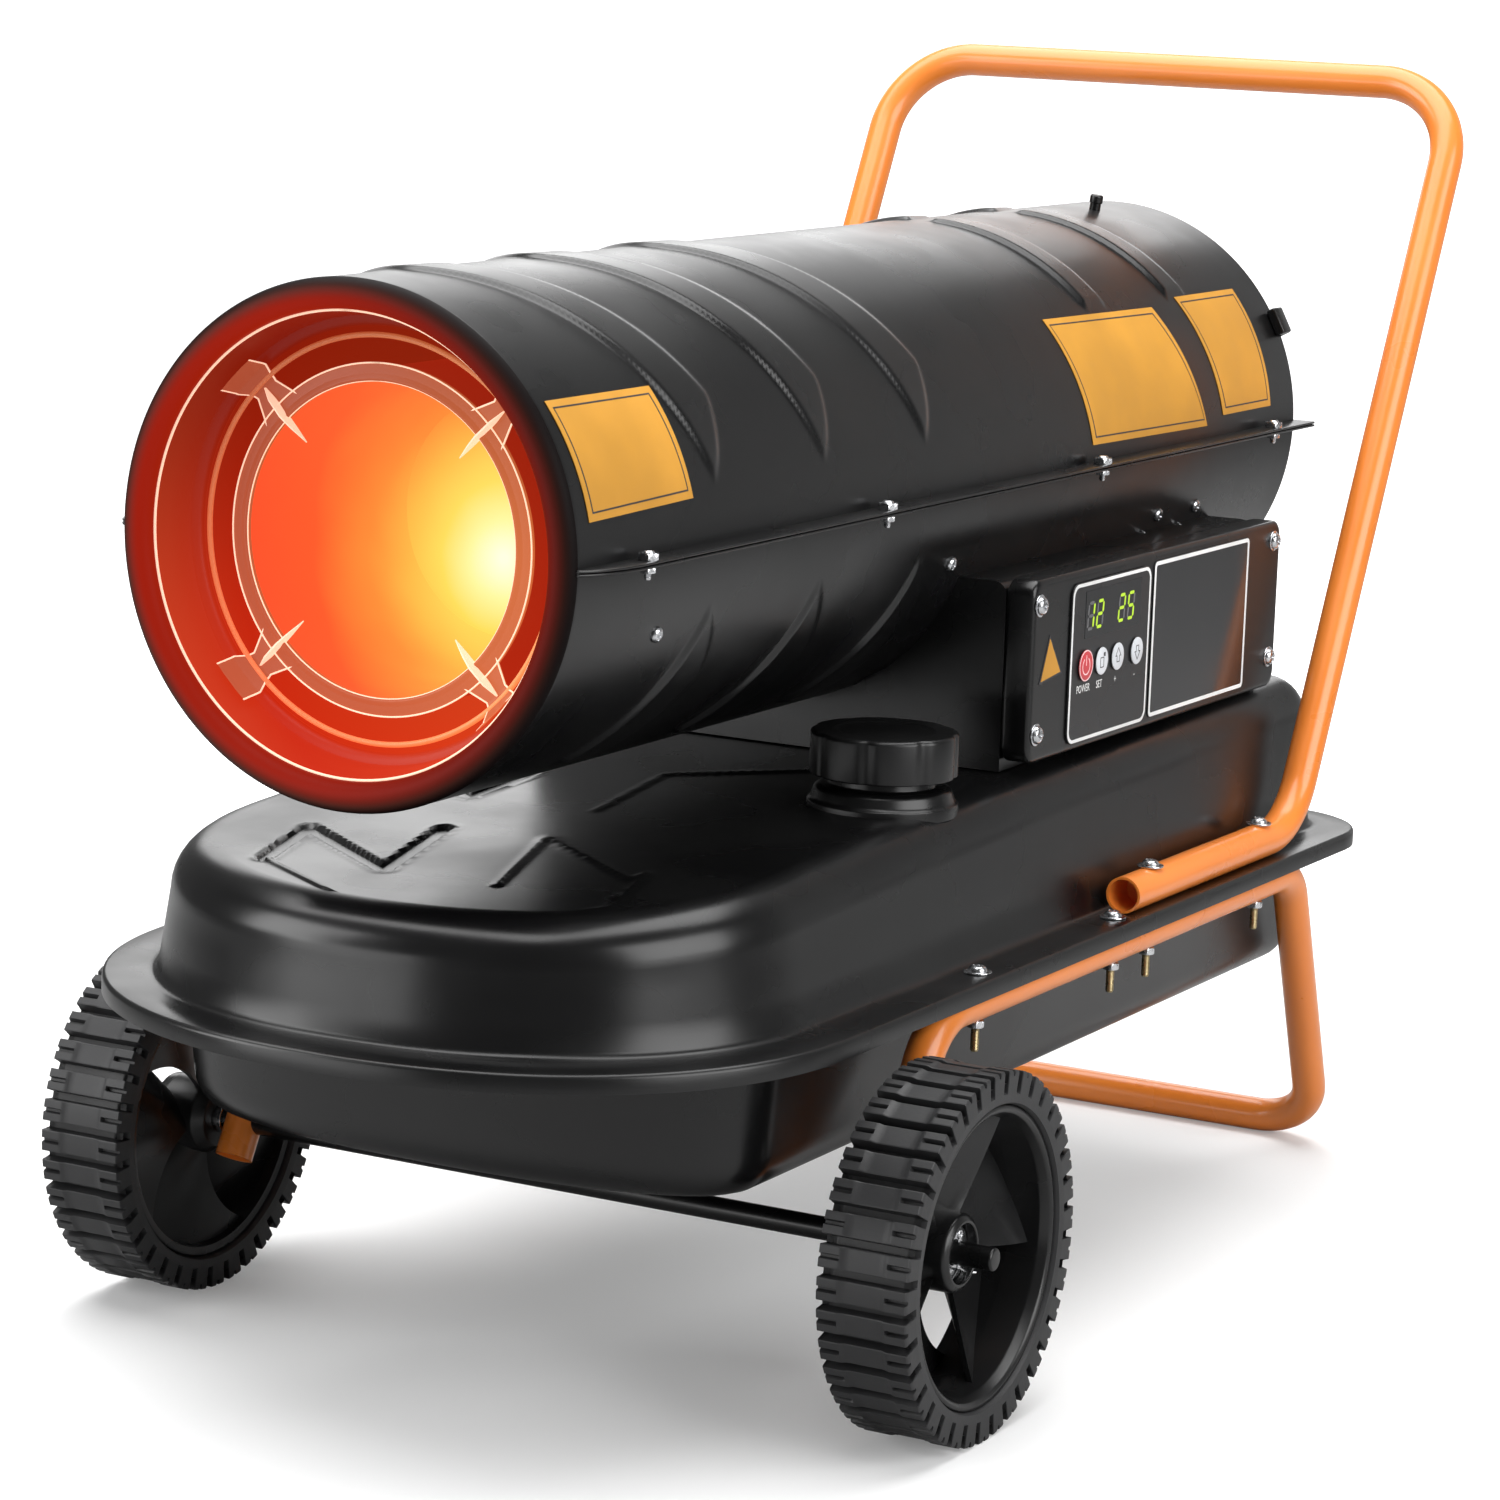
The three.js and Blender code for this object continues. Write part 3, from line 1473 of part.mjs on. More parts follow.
// A round button on a wider flange that stays behind the panel.
function button() {
  const flangeX = panelBackX - seat - 0.3;
  const profile = [
    [0, buttonBackX],
    [2.5, buttonBackX],
    [2.5, flangeX - 1.4],
    [buttonRadius + 1, flangeX - 1.4],
    [buttonRadius + 1, flangeX],
    [buttonRadius, flangeX],
    [buttonRadius, panelFaceX + buttonProud - 0.5],
    [buttonRadius - 0.6, panelFaceX + buttonProud],
    [0, panelFaceX + buttonProud],
  ];
  return sideways(revolve(profile, 12));
}

function transformer() {
  const half = transformerHalf;
  const floor = tankTopAt(transformerY + half) + seat;
  const core = block(2 - half, half - 2, -half, half, floor, floor + 26);
  return core.add(block(10 - half, half - 10, half - 1, half + 10, floor + 4, floor + 20));
}

function cordGland() {
  const profile = [
    [3.5, -6],
    [9, -6],
    [9, 8],
    [6.5, 22],
    [3.5, 22],
  ];
  const flat = revolve(profile, 12);
  return flat.add(revolve([[3.5, 0], [13, 0], [13, 3], [3.5, 3]], 6));
}


const housing = new THREE.Group();
const gland = meshOf("cord_gland", cordGland(), blackPlastic);
gland.position.set(glandX, housingRearY + seat, glandZ);
const spark = meshOf("ignition_transformer", transformer(), cast);
spark.position.set(transformerX, transformerY, 0);
const glandHole = disc(9 + seat, -20, 20, 12).translate([glandX, housingRearY, glandZ]);
housing.add(
  meshOf("support_housing", supportHousing().subtract(glandHole), blackPaint),
  meshOf("control_cover", controlCover(), blackPaint),
  meshOf("control_panel", controlPanel(), blackPlastic),
  meshOf("display_module", displayModule(), darkGlass),
  meshOf("circuit_board", circuitBoard(), boardGreen),
  spark,
  gland,
);
const buttonNames = ["power_button", "set_button", "plus_button", "minus_button"];
buttonNames.forEach((name, i) => {
  const key = meshOf(name, button(), i === 0 ? redPlastic : greyPlastic);
  key.position.set(0, buttonYs[i], buttonZ);
  housing.add(key);
});
heater.add(housing);

// ---- Fuel line ----
const filterBodyZ = tankTopAt(fuelLineY + filterBodyRadius) + seat;

function pickupTube() {
  const tube = rod(fuelLineRadius, pickupEndZ, filterBodyZ - seat, 10);
  return tube.add(rod(fuelLineRadius + 4, pickupEndZ - 12, pickupEndZ + 6, 14));
}

const filterBody = () => rod(filterBodyRadius, filterBodyZ, filterBodyZ + filterBodyHeight, 20);

function supplyTube() {
  const start = vec(fuelLineX, fuelLineY, filterBodyZ + filterBodyHeight + seat);
  const end = vec(-nozzleRadius - seat - 0.4, fuelLineY, drumAxisZ);
  const corner = vec(fuelLineX, fuelLineY, drumAxisZ);
  return bentTube([start, corner, end], fuelLineRadius, 24, 10, 5);
}

const fuel = new THREE.Group();
const pickup = meshOf("fuel_pickup", pickupTube(), brass);
pickup.position.set(fuelLineX, fuelLineY, 0);
const fuelFilter = meshOf("fuel_filter", filterBody(), greyPlastic);
fuelFilter.position.set(fuelLineX, fuelLineY, 0);
fuel.add(pickup, fuelFilter, meshOf("fuel_line", supplyTube(), rubber));
heater.add(fuel);

export default heater;
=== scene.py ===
import bpy
import bmesh
import numpy as np
from mathutils import Matrix


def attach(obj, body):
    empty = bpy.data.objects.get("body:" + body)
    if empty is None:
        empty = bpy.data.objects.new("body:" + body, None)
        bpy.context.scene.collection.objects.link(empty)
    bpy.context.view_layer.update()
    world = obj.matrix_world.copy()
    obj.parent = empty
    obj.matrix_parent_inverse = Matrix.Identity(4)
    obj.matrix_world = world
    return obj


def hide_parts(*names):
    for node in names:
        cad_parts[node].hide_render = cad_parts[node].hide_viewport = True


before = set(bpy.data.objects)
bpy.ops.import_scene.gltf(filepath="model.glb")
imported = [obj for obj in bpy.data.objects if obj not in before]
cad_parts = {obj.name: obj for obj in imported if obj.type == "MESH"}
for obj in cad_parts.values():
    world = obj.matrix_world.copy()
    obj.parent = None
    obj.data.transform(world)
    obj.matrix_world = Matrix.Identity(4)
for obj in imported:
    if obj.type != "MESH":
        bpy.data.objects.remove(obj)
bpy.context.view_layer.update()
print("frame loaded with", len(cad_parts), "nodes")

# Lengths are millimetres here and metres in the meshes. x runs to the control panel, the outlet faces -y,
# z is up from the floor, and angles on the drum are degrees from its top.
mm = 0.001
bothSides = (("right", 1), ("left", -1))


def turns(count, start=0.0, end=360.0, closed=True):
    # evenly spaced angles in radians, without the last one where they close a circle
    return np.radians(np.linspace(start, end, count, endpoint=not closed))


def smooth(value):
    # a ramp from 0 to 1 that is flat at both ends: 3 t squared less 2 t cubed
    t = np.clip(value, 0, 1)
    return t * t * (3 - 2 * t)


def rounded(corners, radii, steps=5):
    # a flat profile whose corners are arcs: each arc touches both sides at the radius over tan(half the angle)
    corners = np.array(corners, float)
    radii = np.broadcast_to(radii, len(corners))
    line = [corners[:1]]
    for before, corner, after, radius in zip(corners, corners[1:], corners[2:], radii[1:]):
        toBefore, toAfter = before - corner, after - corner
        reach = min(np.hypot(*toBefore), np.hypot(*toAfter)) * 0.499
        toBefore, toAfter = toBefore / np.hypot(*toBefore), toAfter / np.hypot(*toAfter)
        half = np.arccos(np.clip(toBefore @ toAfter, -1, 1)) / 2
        if radius <= 0 or half > 1.55:
            line.append(corner[None])
            continue
        setback = min(radius / np.tan(half), reach)
        radius = setback * np.tan(half)
        middle = corner + (toBefore + toAfter) / np.hypot(*(toBefore + toAfter)) * radius / np.sin(half)
        start, end = corner + toBefore * setback - middle, corner + toAfter * setback - middle
        turn = np.arctan2(start[0] * end[1] - start[1] * end[0], start @ end)
        t = np.linspace(0, turn, steps)[:, None]
        line.append(middle + start * np.cos(t) + np.stack([-start[1], start[0]]) * np.sin(t))
    line.append(corners[-1:])
    return np.vstack(line)


def revolved(profile, count=64, along="y", place=(0, 0, 0), closed=False):
    # each point (radius, height) of the profile turns about the axis: radius cos t, radius sin t, height
    radius, height = np.array(profile, float).T
    t = turns(count)[:, None]
    a, b, h = radius * np.cos(t), radius * np.sin(t), height + 0 * t
    surface = {"x": (h, a, b), "y": (b, h, a), "z": (a, b, h)}[along]
    return np.stack(surface, -1) + np.array(place, float), True, closed


def bentPath(corners, radii, steps=12, spacing=None):
    # straight runs joined by arcs in space, with points also along the runs when a spacing is given
    corners = [np.array(c, float) for c in corners]
    radii = np.broadcast_to(radii, len(corners))
    line = [corners[0][None]]
    for before, corner, after, radius in zip(corners, corners[1:], corners[2:], radii[1:]):
        u, v = before - corner, after - corner
        u, v = u / np.linalg.norm(u), v / np.linalg.norm(v)
        half = np.arccos(np.clip(u @ v, -1, 1)) / 2
        setback = radius / np.tan(half)
        start = corner + u * setback
        t = np.linspace(0, np.pi - 2 * half, steps)[:, None]
        w = (v + u * np.cos(np.pi - 2 * half)) / np.sin(np.pi - 2 * half)
        inward = w / np.linalg.norm(w)
        line.append(start - u * radius * np.sin(t) + inward * radius * (1 - np.cos(t)))
    line.append(corners[-1][None])
    path = np.vstack(line)
    if spacing:
        gaps = np.linalg.norm(np.diff(path, axis=0), axis=1)
        along = np.concatenate([[0], np.cumsum(gaps)])
        extra = np.union1d(along, np.arange(0, along[-1], spacing))
        extra = extra[np.concatenate([[True], np.diff(extra) > 0.05])]
        path = np.stack([np.interp(extra, along, path[:, k]) for k in range(3)], 1)
    return path


def circle(radius, count):
    t = turns(count)
    return np.stack([radius * np.cos(t), radius * np.sin(t)], 1)


def torus(radius, height, thick, count, around, along, place):
    # a ring of round wire about an axis through the place
    return revolved(circle(thick, count) + (radius, height), around, along, place, closed=True)


def roundSkin(path, radius, guide, count):
    # rings of points square to a path everywhere: the guide is carried from ring to ring by projection
    forward = np.gradient(path, axis=0)
    forward /= np.linalg.norm(forward, axis=1)[:, None]
    up = np.empty_like(path)
    for i, ahead in enumerate(forward):
        guide = guide - ahead * (guide @ ahead)
        guide /= np.linalg.norm(guide)
        up[i] = guide
    ring = circle(radius, count)
    return path[:, None] + ring[:, :1] * np.cross(forward, up)[:, None] + ring[:, 1:] * up[:, None], forward


def atHeight(outline, z):
    # a flat outline at one height, or at a height for each of its points
    return np.c_[outline, np.broadcast_to(z, len(outline))]


def closedSheet(front, back):
    # the two skins of a sheet joined along both long edges
    return np.concatenate([front, back[:, ::-1]], axis=1), False, True


def plate(outline, low, high, bevel=0.0, along="x", steps=4):
    # a flat outline (p, q) given a thickness, with round edges: rings shrink to the middle on both faces
    outline = np.array(outline, float)
    middle = outline.mean(0)
    size = (outline.max(0) - outline.min(0)) / 2
    bend = np.radians(np.linspace(0, 90, steps if bevel else 1))
    edge = [(1 - bevel * (1 - np.sin(b)) / size, bevel * (1 - np.cos(b))) for b in bend]
    if bevel:
        edge.insert(0, (1 - np.minimum((bevel + 1.2) / size, 0.5),
                        0.0))  # keeps the face flat inside its round edge
    rings = [(middle + (outline - middle) * scale, low + rise) for scale, rise in edge]
    rings += [(middle + (outline - middle) * scale, high - rise) for scale, rise in reversed(edge)]
    rings = [(middle + 0 * outline, low), *rings, (middle + 0 * outline, high)]
    order = {"x": (2, 0, 1), "y": (0, 2, 1), "z": (0, 1, 2)}[along]
    surface = [np.c_[ring, np.full(len(ring), height)][:, order] for ring, height in rings]
    return np.array(surface), False, True


def roundedBox(p0, p1, q0, q1, radius, steps=6):
    # the outline of a rectangle with round corners
    t = turns(steps, 0, 90, closed=False)
    arc = np.stack([np.cos(t), np.sin(t)], 1) * radius
    quarter = ((p1 - radius, q1 - radius), (p0 + radius, q1 - radius), (p0 + radius, q0 + radius),
               (p1 - radius, q0 + radius))
    spin = np.array([[0, 1], [-1, 0]])
    parts = []
    for middle in quarter:
        parts.append(arc + middle)
        arc = arc @ spin
    return np.vstack(parts)


def turned(grid, angle, along):
    # a grid turned by degrees about an axis through the origin
    surface, wrapRows, wrapColumns = grid
    a, b = {"x": (1, 2), "y": (2, 0)}[along]
    c, s = np.cos(np.radians(angle)), np.sin(np.radians(angle))
    result = surface.copy()
    result[..., a] = c * surface[..., a] - s * surface[..., b]
    result[..., b] = s * surface[..., a] + c * surface[..., b]
    return result, wrapRows, wrapColumns


def shifted(grid, offset):
    surface, wrapRows, wrapColumns = grid
    return surface + np.array(offset, float), wrapRows, wrapColumns


def stripEnds(rings):
    # quads over the first and last ring, each joining points that face each other across the wall
    count = rings.shape[1]
    i = np.arange(count // 2 - 1)
    first = np.stack([i, i + 1, count - 2 - i, count - 1 - i], 1)
    return np.vstack([first, first + (rings.shape[0] - 1) * count])


def makePiece(name, grids, body, finish, stands=(), crease=32, ends=False):
    # joins grids of points into one mesh that rides on a body
    points, faces, start = [], [], 0
    for surface, wrapRows, wrapColumns in grids:
        rows, columns = surface.shape[:2]
        index = np.arange(rows * columns).reshape(rows, columns)
        if wrapRows:
            index = np.vstack([index, index[:1]])
        if wrapColumns:
            index = np.hstack([index, index[:, :1]])
        cells = [index[:-1, :-1], index[1:, :-1], index[1:, 1:], index[:-1, 1:]]
        faces.append(np.stack(cells, -1).reshape(-1, 4) + start)
        if ends:
            faces.append(stripEnds(surface) + start)
        points.append(surface.reshape(-1, 3))
        start += rows * columns
    mesh = bpy.data.meshes.new(name)
    mesh.from_pydata(np.vstack(points) * mm, [], np.vstack(faces))
    work = bmesh.new()
    work.from_mesh(mesh)
    bmesh.ops.remove_doubles(work, verts=work.verts, dist=2e-6)
    bmesh.ops.dissolve_degenerate(work, edges=work.edges, dist=1e-7)
    bmesh.ops.recalc_face_normals(work, faces=work.faces)
    work.to_mesh(mesh)
    work.free()
    mesh.shade_smooth()
    mesh.set_sharp_from_angle(angle=np.radians(crease))
    piece = bpy.data.objects.new(name, mesh)
    bpy.context.scene.collection.objects.link(piece)
    mesh.materials.append(finish)
    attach(piece, body)
    if stands:
        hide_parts(*stands)


# a node's output that takes part in sums: each operator adds one Math node
class Wire:
    def __init__(self, shader, socket):
        self.shader = shader
        self.socket = socket

    def join(self, operation, other):
        return self.shader.node("ShaderNodeMath", {"operation": operation}, [self, other])

    def __add__(self, other):
        return self.join("ADD", other)

    def __sub__(self, other):
        return self.join("SUBTRACT", other)

    def __mul__(self, other):
        return self.join("MULTIPLY", other)

    def __truediv__(self, other):
        return self.join("DIVIDE", other)

    def __pow__(self, other):
        return self.join("POWER", other)

    def ramp(self, low, high, start=0.0, end=1.0):
        settings = {"interpolation_type": "SMOOTHSTEP"}
        return self.shader.node("ShaderNodeMapRange", settings, [self, low, high, start, end])


# a material whose nodes are made by one method
class Finish:
    def __init__(self, name, **constants):
        self.material = bpy.data.materials.new(name)
        self.material.use_nodes = True
        self.tree = self.material.node_tree
        self.surface = self.tree.nodes["Principled BSDF"]
        words = {"color": "Base Color", "coat": "Coat Weight", "coatRoughness": "Coat Roughness"}
        for key, value in constants.items():
            socket = self.surface.inputs[words.get(key, key.title())]
            socket.default_value = (*value, 1) if isinstance(value, tuple) else value
        self.place = self.node("ShaderNodeTexCoord", {}, [], "Object")

    def node(self, kind, settings, values, output=0):
        made = self.tree.nodes.new(kind)
        for key, value in settings.items():
            setattr(made, key, value)
        pairs = values.items() if isinstance(values, dict) else enumerate(values)
        for key, value in pairs:
            if isinstance(value, Wire):
                self.tree.links.new(value.socket, made.inputs[key])
            elif value is not None:
                isColour = made.inputs[key].type == "RGBA"
                made.inputs[key].default_value = (*value, 1) if isColour else value
        return Wire(self, made.outputs[output])

    def feed(self, socket, wire):
        self.tree.links.new(wire.socket, self.surface.inputs[socket])

    def shine(self, wire):
        self.feed("Emission Color", wire)
        self.surface.inputs["Emission Strength"].default_value = 1.0

    def axes(self):
        split = self.tree.nodes.new("ShaderNodeSeparateXYZ")
        self.tree.links.new(self.place.socket, split.inputs[0])
        return [Wire(self, output) / mm for output in split.outputs]

    def noise(self, scale, detail=3.0, stretch=(1, 1, 1), roughness=0.5):
        place = self.node("ShaderNodeMapping", {}, {"Vector": self.place, "Scale": stretch})
        return self.node("ShaderNodeTexNoise", {}, {"Vector": place, "Scale": scale, "Detail": detail,
                                                    "Roughness": roughness})

    def blend(self, factor, first, second):
        settings = {"data_type": "RGBA"}
        return self.node("ShaderNodeMix", settings, {0: factor, 6: first, 7: second}, 2)

    def bump(self, height, distance, strength=1.0):
        values = {"Height": height, "Distance": distance, "Strength": strength}
        self.feed("Normal", self.node("ShaderNodeBump", {}, values))


def enamel(name, color, roughness, coat=0.0, orangePeel=0.00004, dust=0.04):
    # sprayed enamel: fine orange peel, cloudy gloss and a little dust that lightens the colour
    paint = Finish(name, color=color, roughness=roughness, coat=coat, coatRoughness=0.12)
    cloud = paint.noise(9.0, 4)
    speck = paint.noise(900.0, 2)
    pale = tuple(min(1.0, c * 1.25 + 0.012) for c in color)
    paint.feed("Base Color", paint.blend(cloud.ramp(0.35, 0.75) * dust * 10, color, pale))
    paint.feed("Roughness", cloud.ramp(0.3, 0.7, roughness - 0.05, roughness + 0.06))
    paint.bump(speck, orangePeel, 0.5)
    return paint


blackPaint = enamel("blackEnamel", (0.0035, 0.0035, 0.0037), 0.28, dust=0.015).material
orangePaint = enamel("orangeEnamel", (0.86, 0.235, 0.032), 0.3, coat=0.4, orangePeel=0.00002).material


def plastic(name, color, roughness, grain=0.00005, scale=1400.0):
    # moulded plastic with a spark-eroded grain
    made = Finish(name, color=color, roughness=roughness)
    cloud = made.noise(14.0, 3)
    made.feed("Roughness", cloud.ramp(0.3, 0.7, roughness - 0.04, roughness + 0.07))
    made.feed("Base Color", made.blend(cloud.ramp(0.3, 0.8), color, tuple(c * 1.3 for c in color)))
    made.bump(made.noise(scale, 2), grain, 0.6)
    return made.material


blackPlastic = plastic("blackPlastic", (0.004, 0.004, 0.0042), 0.3)
wheelPlastic = plastic("wheelPlastic", (0.008, 0.008, 0.0083), 0.27, grain=0.00002, scale=500.0)
panelPlastic = plastic("panelPlastic", (0.016, 0.016, 0.017), 0.28, grain=0.00001)
tyreRubber = plastic("tyreRubber", (0.022, 0.022, 0.023), 0.48, grain=0.00012, scale=500.0)
hoseRubber = plastic("hoseRubber", (0.02, 0.02, 0.02), 0.55)
whiteInk = plastic("whiteInk", (0.78, 0.78, 0.77), 0.4, grain=0.00001)
redKey = plastic("redKey", (0.50, 0.045, 0.055), 0.38)
greyKey = plastic("greyKey", (0.62, 0.64, 0.67), 0.4)
ceramicWhite = plastic("ceramicWhite", (0.72, 0.69, 0.62), 0.3)
filterPlastic = plastic("filterPlastic", (0.62, 0.63, 0.58), 0.3)
boardGreen = plastic("boardGreen", (0.012, 0.11, 0.04), 0.45)


def metal(name, color, roughness, stretch=(1, 1, 1), scale=240.0, depth=0.00003):
    # plated or turned metal: fine scratches in the gloss and slight colour clouds
    made = Finish(name, color=color, roughness=roughness, metallic=1.0)
    scratch = made.noise(scale, 3, stretch)
    cloud = made.noise(60.0, 2)
    made.feed("Roughness", scratch.ramp(0.3, 0.7, roughness - 0.07, roughness + 0.1))
    made.feed("Base Color", made.blend(cloud.ramp(0.35, 0.7), color, tuple(c * 0.8 for c in color)))
    made.bump(scratch, depth, 0.4)
    return made.material


zincPlate = metal("zincPlate", (0.74, 0.75, 0.77), 0.2)
yellowZinc = metal("yellowZinc", (0.50, 0.40, 0.22), 0.3)
castAlloy = metal("castAlloy", (0.36, 0.37, 0.38), 0.45, scale=120.0, depth=0.0002)
brassTurned = metal("brassTurned", (0.62, 0.43, 0.17), 0.26)

noticeFilm = plastic("noticeFilm", (0.020, 0.020, 0.021), 0.07, grain=0.000004)
displayGlass = plastic("displayGlass", (0.014, 0.014, 0.015), 0.1, grain=0.000002)
darkFigure = plastic("darkFigure", (0.12, 0.12, 0.125), 0.3, grain=0.000002)
paleInk = plastic("paleInk", (0.82, 0.55, 0.56), 0.4, grain=0.000002)
darkInk = plastic("darkInk", (0.03, 0.03, 0.035), 0.4, grain=0.000002)
labelFilm = plastic("labelFilm", (0.52, 0.245, 0.026), 0.42, grain=0.000004)


def glowing(name, color):
    # a lit figure: its colour wavers a little, as diffused light does
    made = Finish(name, color=(0.02, 0.02, 0.02), roughness=0.3)
    cloud = made.noise(300.0, 2)
    made.shine(made.blend(cloud.ramp(0.3, 0.7), color, tuple(v * 0.85 for v in color)))
    return made.material


litFigure = glowing("litFigure", (0.62, 0.95, 0.02))

glow = {"brightX": 66.0, "brightZ": 485.0, "axisZ": 482.0, "mouthY": -456.0, "leanX": 0.545, "leanZ": 0.207,
        "wall": 87.4}


def glowField(made):
    # distance from the core of the flame, which leans to one side and down with its depth in the mouth
    x, y, z = made.axes()
    depth = y - glow["mouthY"]
    right, up = x + depth * glow["leanX"] - glow["brightX"], z + depth * glow["leanZ"] - glow["brightZ"]
    return (right * right + up * up) ** 0.5, x, y, z


def flame():
    # the fire seen through the outlet: pale yellow at its heart, orange, then red at the far rim
    made = Finish("flameGlow", color=(0.25, 0.05, 0.02), roughness=0.6)
    away, x, _, z = glowField(made)
    stops = [
        (0.0, (1.0, 1.0, 0.75)), (0.12, (1.0, 0.93, 0.36)), (0.24, (1.0, 0.72, 0.11)), (0.38, (1.0, 0.50, 0.07)),
        (0.52, (1.0, 0.25, 0.04)), (0.70, (1.0, 0.07, 0.02)), (0.95, (0.92, 0.035, 0.012)),
    ]
    color = rampOf(made, away / 165.0 + (made.noise(14.0, 2) - 0.5) * 0.10, stops)
    inside = ((x * x + (z - glow["axisZ"]) * (z - glow["axisZ"])) ** 0.5).ramp(glow["wall"] + 0.5, glow["wall"])
    made.shine(made.blend(inside, (0.26, 0.014, 0.004), color))
    return made.material


def rampOf(made, wire, stops):
    ramp = made.tree.nodes.new("ShaderNodeValToRGB")
    elements = ramp.color_ramp.elements
    while len(elements) < len(stops):
        elements.new(0.5)
    for element, (position, color) in zip(elements, stops):
        element.position = position
        element.color = (*color, 1)
    made.tree.links.new(wire.socket, ramp.inputs[0])
    return Wire(made, ramp.outputs[0])


def paintedFireLight(name, color, roughness, stops, reach=230.0, dim=0.4):
    # steel lit by the fire, as painted light: an emission stands in for the fire's light on it, fading with the
    # distance from the flame, and painted shade dims it towards the top
    made = Finish(name, color=color, roughness=roughness)
    away, _, _, z = glowField(made)
    low = (z - glow["axisZ"]).ramp(110.0, -120.0, dim, 1.0)
    lit = rampOf(made, away / reach, stops)
    made.shine(made.blend(low, (0, 0, 0), lit))
    made.surface.inputs["Specular IOR Level"].default_value = 0.2
    made.bump(made.noise(300.0, 3), 0.00005, 0.5)
    return made.material


flameGlow = flame()
ringStops = [(0.0, (0.72, 0.18, 0.05)), (0.5, (0.50, 0.09, 0.03)), (1.0, (0.40, 0.06, 0.03))]
shieldStops = [(0.0, (0.85, 0.14, 0.03)), (0.35, (0.62, 0.045, 0.010)), (0.7, (0.60, 0.022, 0.005)),
               (1.0, (0.66, 0.06, 0.018))]
# painted light: emissions that stand in for the fire's light on the outlet ring and inside the heat shield
ringFireLight = paintedFireLight("ringFireLight", (0.13, 0.04, 0.025), 0.35, ringStops, dim=0.7)
shieldFireLight = paintedFireLight("shieldFireLight", (0.02, 0.004, 0.003), 0.45, shieldStops, dim=0.34)


def paintedLipFireLight():
    # painted light on the drum's rolled edge: an emission that stands in for the fire's light, dark red inside,
    # fading to a painted brown sheen outside, and brighter towards -x
    made = Finish("lipFireLight", color=(0.005, 0.003, 0.003), roughness=0.5)
    x, _, z = made.axes()
    up = z - glow["axisZ"]
    out = (x * x + up * up) ** 0.5
    brown = made.blend(out.ramp(134.5, 125.0), (0.06, 0.014, 0.008), (0.34, 0.010, 0.001))
    side = x.ramp(125.0, -60.0, 0.4, 1.0)
    made.shine(made.blend(side * out.ramp(137.0, 132.0), (0, 0, 0), brown))
    made.surface.inputs["Specular IOR Level"].default_value = 0.06
    made.bump(made.noise(900.0, 2), 0.00003, 0.5)
    return made.material


lipFireLight = paintedLipFireLight()
# painted highlights: emissions on the shield's bead, on the mouth's bright edges and on the arms' fins
beadStops = [(0.0, (1.0, 0.42, 0.12)), (0.6, (0.75, 0.12, 0.03)), (1.0, (0.62, 0.10, 0.04))]
beadHighlight = paintedFireLight("beadHighlight", (0.5, 0.2, 0.1), 0.3, beadStops, dim=0.35)
edgeHighlight = paintedFireLight("edgeHighlight", (0.7, 0.5, 0.4), 0.3, [(0.0, (1.0, 0.75, 0.5)), (1.0, (0.85, 0.45, 0.32))], dim=0.8)
print("finishes made")

drum = {
    "radius": 137.0, "axisZ": 482.0, "front": -495.0, "rear": 430.0, "sheet": 1.6, "lip": 8.0, "curl": 14.0,
    "ribHeight": 2.6, "ribWidth": 44.0, "ribPitch": 121.0, "firstRib": -432.0, "ribs": 3,
    "rearRibs": 2, "firstRearRib": 140.0, "rearRibWidth": 31.0, "rearRibPitch": 121.0,
    "flange": 14.0, "flangeFront": -440.0, "flangeRear": 433.0, "gap": 0.3,
}


def bulgedBand(angle, y, leading, width, sweep, last, square):
    # a pressed band: it rises steeply at its leading edge, which runs back with the angle, stays level, and falls at
    # a rear edge that closes on the leading edge past the angle where the band stops being square
    away = np.abs(angle)
    front = leading + sweep * (np.hypot(away, 6) - 6)
    left = np.clip((last - away) / (last - square), 0, 1) ** 0.8
    wide = np.maximum(width * np.where(away < square, 1, left), 0.6)
    rise = smooth((y - front) / 5.0)
    fall = 1 - smooth((y - front - wide + 2.5) / 6.0)
    slope = 1 - 0.35 * np.clip((y - front) / wide, 0, 1)
    return rise * fall * slope * np.where(away < square, 1, left ** 0.5)


def upperRibs(angle, y):
    height = 0 * (angle + y)
    for i in range(drum["ribs"]):
        leading = drum["firstRib"] + i * drum["ribPitch"]
        height = np.maximum(height, bulgedBand(angle, y, leading, drum["ribWidth"], 1.22, 76, 57))
    for i in range(drum["rearRibs"]):
        leading = drum["firstRearRib"] + i * drum["rearRibPitch"]
        away = np.abs(angle)
        inside = smooth((away - 2.0) / 2.5) * (1 - smooth((away - 47.5) / 2.5))
        height = np.maximum(height, inside * bulgedBand(away, y, leading, drum["rearRibWidth"], 0.52, 90, 89))
    return height


def lowerRibs(angle, y):
    fromBottom = 180 - np.abs(np.where(angle > 180, angle - 360, angle))
    height = 0 * (angle + y)
    for i in range(drum["ribs"]):
        leading = drum["firstRib"] + i * drum["ribPitch"]
        band = bulgedBand(fromBottom, y, leading, drum["ribWidth"], 1.22, 76, 57)
        height = np.maximum(height, smooth((fromBottom - 31) / 3.0) * band)
    return height


